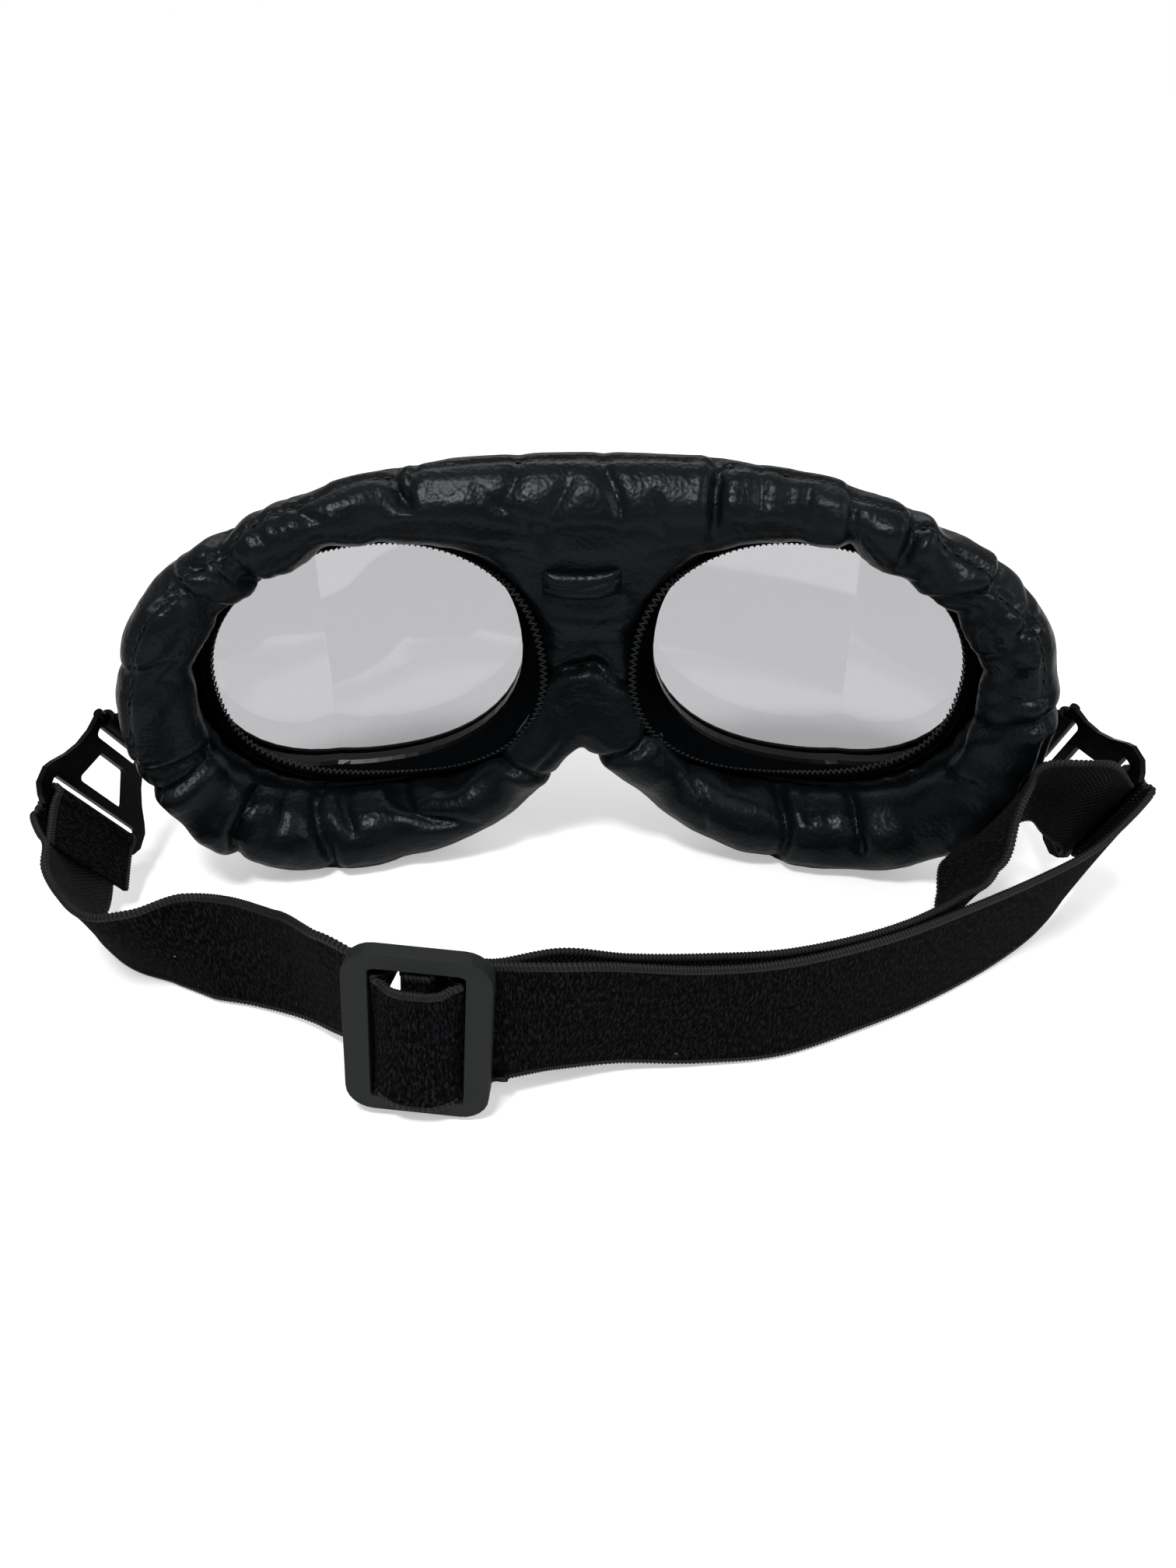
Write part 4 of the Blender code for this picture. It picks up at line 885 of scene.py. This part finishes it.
# Pillows of the rear face over the nose, in mm: height and half height, place and half width
# across, and how far each stands out: the crown, the pad above its crease, and the pad below it.
PILLOWS = ((71.0, 8.0, 0.0, 24.0, 1.6), (55.5, 3.6, 0.0, 7.5, 1.5), (41.0, 6.5, -1.0, 11.0, 1.7))
PAD_WIDENING = 0.2
PAD_HEIGHT = 51 * MM
PAD_HALF_HEIGHT = 14 * MM
PAD_HALF_WIDTH = 11 * MM


def settle_roll(point):
    """Where a point of the stuffed roll lies after the cup has pulled it into shape."""
    side = 1 if point.x >= 0 else -1
    out, angle, _ = roll_place(point)
    place = point.copy()
    away = math.hypot(point.x, point.z - NOTCH_HEIGHT)
    place += NOTCH_SHIFT * bell(away, NOTCH_REACH)
    if point.y < NOSE_FORWARD + FORWARD:
        for level, rise, middle, reach, swell in PILLOWS:
            up, across = (point.z / MM - level) / rise, (point.x / MM - middle) / reach
            place.y -= swell * MM * math.exp(-up ** 2 - across ** 4)
    way = Vector((math.cos(angle) * side, 0, math.sin(angle)))
    rearward = clamped((wrap(abs(point.x)) + FORWARD + 4 * MM - point.y) / (6 * MM))
    up = (point.z - PAD_HEIGHT) / PAD_HALF_HEIGHT
    pad = math.exp(-up ** 4 - (point.x / PAD_HALF_WIDTH) ** 6)
    place.x += PAD_WIDENING * pad * rearward * point.x
    lean = LEAN_IN[side] * max(0.0, math.cos(angle - LEAN_ANGLE))
    place -= way * lean * bell(max(out, 0.0), LEAN_REACH) * rearward
    limit = 0.2 * MM - 1.3 * MM * rearward - lean
    if out < limit:
        place += way * (limit - out) * 0.85
    return place


def seam_rays():
    """(place outside the roll, way out, turn to the rear) for each point along the outer seam."""
    found = []
    for k in range(15):
        x = OPENING_X * k / 15
        found.append((Vector((x, wrap(x) + FORWARD, 0.11)), Vector((0, 0, 1)), math.radians(2)))
    for k in range(73):
        angle = math.pi / 2 - math.pi * k / 72
        out = Vector((math.cos(angle), 0, math.sin(angle)))
        place = Vector((OPENING_X, 0, OPENING_Z)) + out * 0.07
        place.y = wrap(OPENING_X + 0.04 * out.x) + FORWARD
        turn = math.radians(2 + 60 * max(0.0, out.x) ** 1.3 - 12 * max(0.0, -out.z))
        found.append((place, out, turn))
    for k in range(1, 13):
        x = OPENING_X - 2.5 * MM * k
        found.append((Vector((x, wrap(x) + FORWARD, -0.03)), Vector((0, 0, -1)), math.radians(-12)))
    mirror = Vector((-1, 1, 1))
    other = [(place * mirror, out * mirror, turn) for place, out, turn in reversed(found[1:])]
    return found + other


def outer_seam(tree):
    """Places and normals along the seam that joins the rear panel to the side wall."""
    found = []
    for place, out, turn in seam_rays():
        edge = tree.ray_cast(place, -out)[0]
        if edge is None:
            continue
        middle = edge - out * 7.5 * MM
        way = out * math.cos(turn) - Vector((0, math.sin(turn), 0))
        hit, normal, _, _ = tree.ray_cast(middle, way)
        if hit is not None:
            found.append((hit, normal))
    return found


def closed_path(corners, pitch):
    """Even steps along a smooth closed curve through these points."""
    count = len(corners)
    dense = []
    for i in range(count):
        four = [corners[(i + k - 1) % count] for k in range(4)]
        dense += smooth_span([tuple(c) for c in four], 12)
    dense.append(dense[0])
    travelled = [0.0]
    for first, second in zip(dense, dense[1:]):
        travelled.append(travelled[-1] + (Vector(second[:3]) - Vector(first[:3])).length)
    steps = round(travelled[-1] / pitch)
    found = []
    i = 0
    for k in range(steps):
        goal = travelled[-1] * k / steps
        while travelled[i + 1] < goal:
            i += 1
        share = (goal - travelled[i]) / (travelled[i + 1] - travelled[i])
        found.append(tuple(a + (b - a) * share for a, b in zip(dense[i], dense[i + 1])))
    return found


def surface_tree(piece):
    piece.data.calc_loop_triangles()
    return BVHTree.FromPolygons([vert.co for vert in piece.data.vertices],
                                [face.vertices for face in piece.data.loop_triangles])


def thread(name, runs, radius, finish, closed=False):
    """Round thread along each of these runs of points, made a mesh."""
    data = bpy.data.curves.new(name, "CURVE")
    data.dimensions = "3D"
    data.bevel_depth = radius
    data.bevel_resolution = 1
    data.use_fill_caps = True
    for run in runs:
        spline = data.splines.new("POLY")
        spline.points.add(len(run) - 1)
        spline.use_cyclic_u = closed
        for spot, place in zip(spline.points, run):
            spot.co = (*place, 1.0)
    piece = placed(name, data)
    alone(piece)
    bpy.ops.object.convert(target="MESH")
    piece = bpy.context.object
    piece.data.materials.clear()
    piece.data.materials.append(finish)
    smooth(piece)
    return piece


SEAM_GROOVE = 0.9 * MM
SEAM_HALF_WIDTH = 0.8 * MM
SEAM_STITCH = 2.1 * MM


def sew_outer_edge(cushion):
    """Sinks the seam between the rear panel and the side, and lays its stitches in the groove."""
    tree = surface_tree(cushion)
    corners = [(*hit, *normal) for hit, normal in outer_seam(tree)]
    for _ in range(3):
        count = len(corners)
        corners = [
            tuple((a + 2 * b + c) / 4 for a, b, c in
                  zip(corners[i - 1], corners[i], corners[(i + 1) % count]))
            for i in range(count)
        ]
    path = closed_path(corners, 0.4 * MM)
    near = kdtree.KDTree(len(path))
    for i, spot in enumerate(path):
        near.insert(spot[:3], i)
    near.balance()
    mesh = cushion.data
    for vert in mesh.vertices:
        away = near.find(vert.co)[2]
        if away < 4 * SEAM_HALF_WIDTH:
            vert.co -= vert.normal * (SEAM_GROOVE * bell(away, SEAM_HALF_WIDTH))
    mesh.update()
    tree = surface_tree(cushion)
    stitches = []
    for spot in closed_path(corners, SEAM_STITCH):
        hit, normal, _, _ = tree.find_nearest(Vector(spot[:3]))
        nearby = near.find(hit)[1]
        ahead = Vector(path[(nearby + 1) % len(path)][:3]) - Vector(path[nearby][:3])
        along = (ahead - normal * ahead.dot(normal)).normalized() * SEAM_STITCH * 0.3
        stitches.append([hit - along - normal * 0.15 * MM, hit + normal * 0.12 * MM,
                         hit + along - normal * 0.15 * MM])
    belongs(thread("roll_topstitch", stitches, 0.17 * MM, SEAM_THREAD))


def build_cushion():
    cushion = merged_copy("riding_cushion", "face_cushion", LEATHER)
    stuffed(cushion, 1.35 * MM, 0.8 * MM, 4.0, 3.0 * MM, 0.04)
    mesh = cushion.data
    for vert in mesh.vertices:
        vert.co = settle_roll(vert.co)
    mesh.update()
    runs = crease_runs(surface_tree(cushion))
    normals = [vert.normal.copy() for vert in mesh.vertices]
    for vert, normal in zip(mesh.vertices, normals):
        if vert.co.z < 1.0 * MM:
            continue
        rear = clamped((0.6 - normal.y) / 0.8)
        vert.co -= normal * (crease_depth(runs, vert.co) + wrinkles(vert.co)) * rear
    for vert in mesh.vertices:
        vert.co.z = max(vert.co.z, 0.0)
    mesh.update()
    sew_outer_edge(cushion)
    mark_gather_place(cushion)
    smooth(cushion)
    belongs(cushion, "face_cushion")
    return cushion


def build_wall(name):
    wall = merged_copy("padded_wall_" + name, "side_wall_" + name, LEATHER)
    stuffed(wall, 1.5 * MM, 0.1 * MM, 1.0, 0.5 * MM)
    normals = [vert.normal.copy() for vert in wall.data.vertices]
    for vert, normal in zip(wall.data.vertices, normals):
        vert.co -= normal * max(0.0, wrinkles(vert.co)) * 0.9
    mark_gather_place(wall)
    smooth(wall)
    belongs(wall, "side_wall_" + name)


BAND_MIDDLE = Vector((-1.2, 21.0, 63.2)) * MM
BAND_HALF_LENGTH = 7.6 * MM
BAND_HALF_HEIGHT = 2.9 * MM
BAND_BULGE = 3.2 * MM
BAND_SEAT = 0.6 * MM


def build_band(tree):
    """The leather band across the nose pad: folded lengthways and sagging, its ends sewn down."""
    bpy.ops.object.select_all(action="DESELECT")
    bpy.ops.mesh.primitive_grid_add(x_subdivisions=36, y_subdivisions=22, size=2.0)
    band = bpy.context.object
    band.name = "folded_band"
    for vert in band.data.vertices:
        across, up = vert.co.x, vert.co.y
        x = BAND_MIDDLE.x + BAND_HALF_LENGTH * across
        sag = (0.8 * (1 - across * across) + 0.2 * math.sin(2.2 * across) - 0.5 * across) * MM
        z = BAND_MIDDLE.z + BAND_HALF_HEIGHT * up - sag
        lies = tree.ray_cast(Vector((x, -0.1, z)), Vector((0, 1, 0)))[0]
        rounded = max(0.0, 1 - up ** 2) ** 0.5 * max(0.0, 1 - across ** 4) ** 0.5
        fold = 0.45 * MM * bell(up - 0.1 - 0.3 * math.sin(2 * across), 0.15)
        pucker = 0.2 * MM * math.sin(9 * across + 2 * up) * across * across
        level = lies.y if lies else BAND_MIDDLE.y
        vert.co = (x, level + BAND_SEAT - BAND_BULGE * rounded + fold - pucker, z)
    band.data.materials.append(LEATHER)
    alone(band)
    bpy.ops.object.mode_set(mode="EDIT")
    leave_edit_mode()
    if band.data.polygons[400].normal.y > 0:
        band.data.flip_normals()
    modify(band, "SOLIDIFY", thickness=0.5 * MM, offset=-1.0)
    mark_gather_place(band)
    smooth(band)
    belongs(band, "bridge_band")


# ---- Cup linings and their overlocked seams ----

LINING_STEPS = 160
LINING_RINGS = 7
LINING_THICKNESS = 0.9 * MM
# How far behind the lens's plane the rim ends and the lining starts.
RIM_DEPTH = 7.0 * MM
SEAM_RISE = 10.0 * MM
SEAM_INSET = 0.9 * MM


def build_lining(name, side):
    """A thin strip round the cup, drawn from its rear seam to the lens, puckered at the seam."""
    bpy.ops.object.select_all(action="DESELECT")
    bpy.ops.mesh.primitive_circle_add(vertices=LINING_STEPS, radius=30 * MM)
    lining = bpy.context.object
    lining.name = "cup_lining_" + name
    steps = lining.data.attributes.new("step", "INT", "POINT")
    for k, spot in enumerate(steps.data):
        spot.value = k
    bpy.ops.object.mode_set(mode="EDIT")
    bpy.ops.mesh.select_all(action="SELECT")
    for ring in range(LINING_RINGS):
        if ring:
            bpy.ops.mesh.extrude_region_move()
        shape = bmesh.from_edit_mesh(lining.data)
        step = shape.verts.layers.int["step"]
        for vert in shape.verts:
            if vert.select:
                vert.co = lining_place(vert[step], ring / (LINING_RINGS - 1), side)
        bmesh.update_edit_mesh(lining.data)
    leave_edit_mode()
    lining.data.materials.append(LINING)
    modify(lining, "SOLIDIFY", thickness=LINING_THICKNESS, offset=1.0)
    smooth(lining, 60)
    belongs(lining, "lining_" + name)


def nose_share(angle):
    """1 beside the nose, where the pad is thin and the seam shows, falling to 0 at the temple."""
    return ((1 - math.cos(angle)) / 2) ** 2


def seam_level(angle, x):
    """How far forward the cup's seam lies: at the roll's front, but near the pad's rear face."""
    return wrap(x) + ROLL_FRONT + 0.2 * MM - SEAM_RISE * nose_share(angle)


def lining_place(step, share, side):
    angle = 2 * math.pi * step / LINING_STEPS
    pucker = 0.12 * MM * math.sin(2 * math.pi * step / 5) * (1 - share)
    x0, z0 = oval_point(OPENING, angle, pucker - SEAM_INSET * nose_share(angle))
    x1, z1 = oval_point(LENS_OVAL, angle, 0.2 * MM)
    y0 = seam_level(angle, x0)
    y1 = front(x1) - RIM_DEPTH - GAP
    place = Vector((x0 * side, y0 + FORWARD, z0))
    return place.lerp(Vector((x1 * side, y1 + FORWARD, z1)), share)


SEAM_ZIGZAG = 1.2 * MM


def build_cup_seam(name, side):
    """The overlocked seam between roll and lining: a zigzag thread over a thin bead."""
    middle = []
    for k in range(240):
        angle = 2 * math.pi * k / 240
        x, z = oval_point(OPENING, angle, -0.35 * MM)
        middle.append(Vector((x * side, seam_level(angle, x) + FORWARD, z)))
    length = sum((a - b).length for a, b in zip(middle, middle[1:] + middle[:1]))
    turns = round(length / SEAM_ZIGZAG)
    zigzag = []
    for k in range(turns * 4):
        swing = (0.0, 1.0, 0.0, -1.0)[k % 4]
        angle = 2 * math.pi * k / (turns * 4)
        facing = nose_share(angle)
        inwards = 1.15 - 0.1 * abs(swing) - facing * (0.9 + 0.7 * swing)
        x, z = oval_point(OPENING, angle, -inwards * MM)
        level = seam_level(angle, x) + swing * MM * (1 - facing) - 0.75 * MM * facing
        zigzag.append(Vector((x * side, level + FORWARD, z)))
    belongs(thread("cup_bead_" + name, [middle], 0.75 * MM, LINING, True))
    belongs(thread("cup_seam_" + name, [zigzag], 0.2 * MM, SEAM_THREAD, True))


# ---- Hard parts keep their CAD shape ----

FINISHES = {
    "frame_left": ALLOY, "frame_right": ALLOY, "nose_bridge": STEEL,
    "bridge_rivet_left": STEEL, "bridge_rivet_right": STEEL,
    "strap_bracket_left": STEEL, "strap_bracket_right": STEEL,
    "inner_rim_left": RIM, "inner_rim_right": RIM,
    "lens_left": LENS, "lens_right": LENS, "slider": SLIDER_PLASTIC,
}


def finish_hard_parts():
    for name, finish in FINISHES.items():
        for slot in NODES[name].material_slots:
            slot.material = finish


# ---- Camera, floor and light ----

def build_stage():
    """A white floor and sky for the camera, which light the object only a little."""
    bpy.ops.object.select_all(action="DESELECT")
    bpy.ops.mesh.primitive_plane_add(size=8.0, location=(0, 0, -0.0002))
    floor = bpy.context.object
    floor.name = "floor"
    made, surface = new_material("pale_floor", "#F2F2F2", 0.9, Specular_IOR_Level=0.0)
    surface.inputs["Emission Color"].default_value = (1, 1, 1, 1)
    # White near the object for the camera; further out the lamps fade, so the floor lights itself.
    place = add_node(made, "TexCoord").outputs["Object"]
    reach = add_node(made, "VectorMath", {"operation": "LENGTH"}, {0: place}).outputs["Value"]
    far = add_node(made, "MapRange", {"From Min": 0.3, "From Max": 1.2, "To Max": 0.65},
                   {"Value": reach})
    rays = add_node(made, "LightPath").outputs
    through = add_node(made, "Math", {"operation": "MULTIPLY_ADD", 1: 0.35},
                       {0: rays["Is Transmission Ray"], 2: far})
    near = add_node(made, "Math", {"operation": "MULTIPLY_ADD", 1: 0.4},
                    {0: rays["Is Camera Ray"], 2: through})
    seen = add_node(made, "Math", {"operation": "MAXIMUM"},
                    {0: rays["Is Camera Ray"], 1: rays["Is Transmission Ray"]})
    either = add_node(made, "Math", {"operation": "MAXIMUM"}, {0: seen, 1: rays["Is Glossy Ray"]})
    amount = add_node(made, "Math", {"operation": "MULTIPLY"}, {0: either, 1: near})
    feed(made, amount, surface, "Emission Strength")
    floor.data.materials.append(made)

    world = bpy.data.worlds.new("studio")
    bpy.context.scene.world = world
    world.use_nodes = True
    sky = world.node_tree.nodes["Background"]
    sky.inputs["Color"].default_value = (1, 1, 1, 1)
    rays = add_node(world, "LightPath").outputs
    seen = add_node(world, "Math", {"operation": "MAXIMUM"},
                    {0: rays["Is Camera Ray"], 1: rays["Is Transmission Ray"]})
    level = add_node(world, "MapRange", {"To Min": 0.35, "To Max": 1.0}, {"Value": seen})
    feed(world, level, sky, "Strength")


# Each lamp's name, place, what it looks at, its size, and its power in watts.
LAMPS = (
    ("key", (-0.12, -0.32, 0.72), (0, 0.02, 0.04), (0.16, 0.12), 3.8),
    ("fill", (0.6, -0.2, 0.5), (0, 0.02, 0.04), (0.4, 0.4), 1.3),
    ("back", (0.0, 0.6, 0.6), (0, 0.02, 0.05), (0.6, 0.3), 1.3),
)
PICTURE_HEIGHT = 2016.0


def build_view():
    """The photograph's own view of the object, and soft lamps above it."""
    data = bpy.data.cameras.new("camera")
    data.sensor_fit = "VERTICAL"
    data.sensor_height = 36.0
    data.lens = FOCAL_PIXELS * data.sensor_height / PICTURE_HEIGHT
    camera = placed("camera", data)
    camera.location = CAMERA_PLACE
    camera.rotation_euler = (math.pi / 2 - CAMERA_DIP, 0, 0)
    bpy.context.scene.camera = camera
    bpy.context.scene.view_settings.view_transform = "Standard"
    for name, place, target, size, power in LAMPS:
        data = bpy.data.lights.new(name, "AREA")
        data.shape = "RECTANGLE"
        data.size, data.size_y = size
        data.energy = power
        lamp = placed(name, data)
        lamp.location = place
        way = Vector(target) - Vector(place)
        lamp.rotation_euler = way.to_track_quat("-Z", "Y").to_euler()


build_stage()
build_view()
finish_hard_parts()
build_strap()
build_band(surface_tree(build_cushion()))
for name, side in (("right", 1), ("left", -1)):
    build_wall(name)
    build_lining(name, side)
    build_cup_seam(name, side)
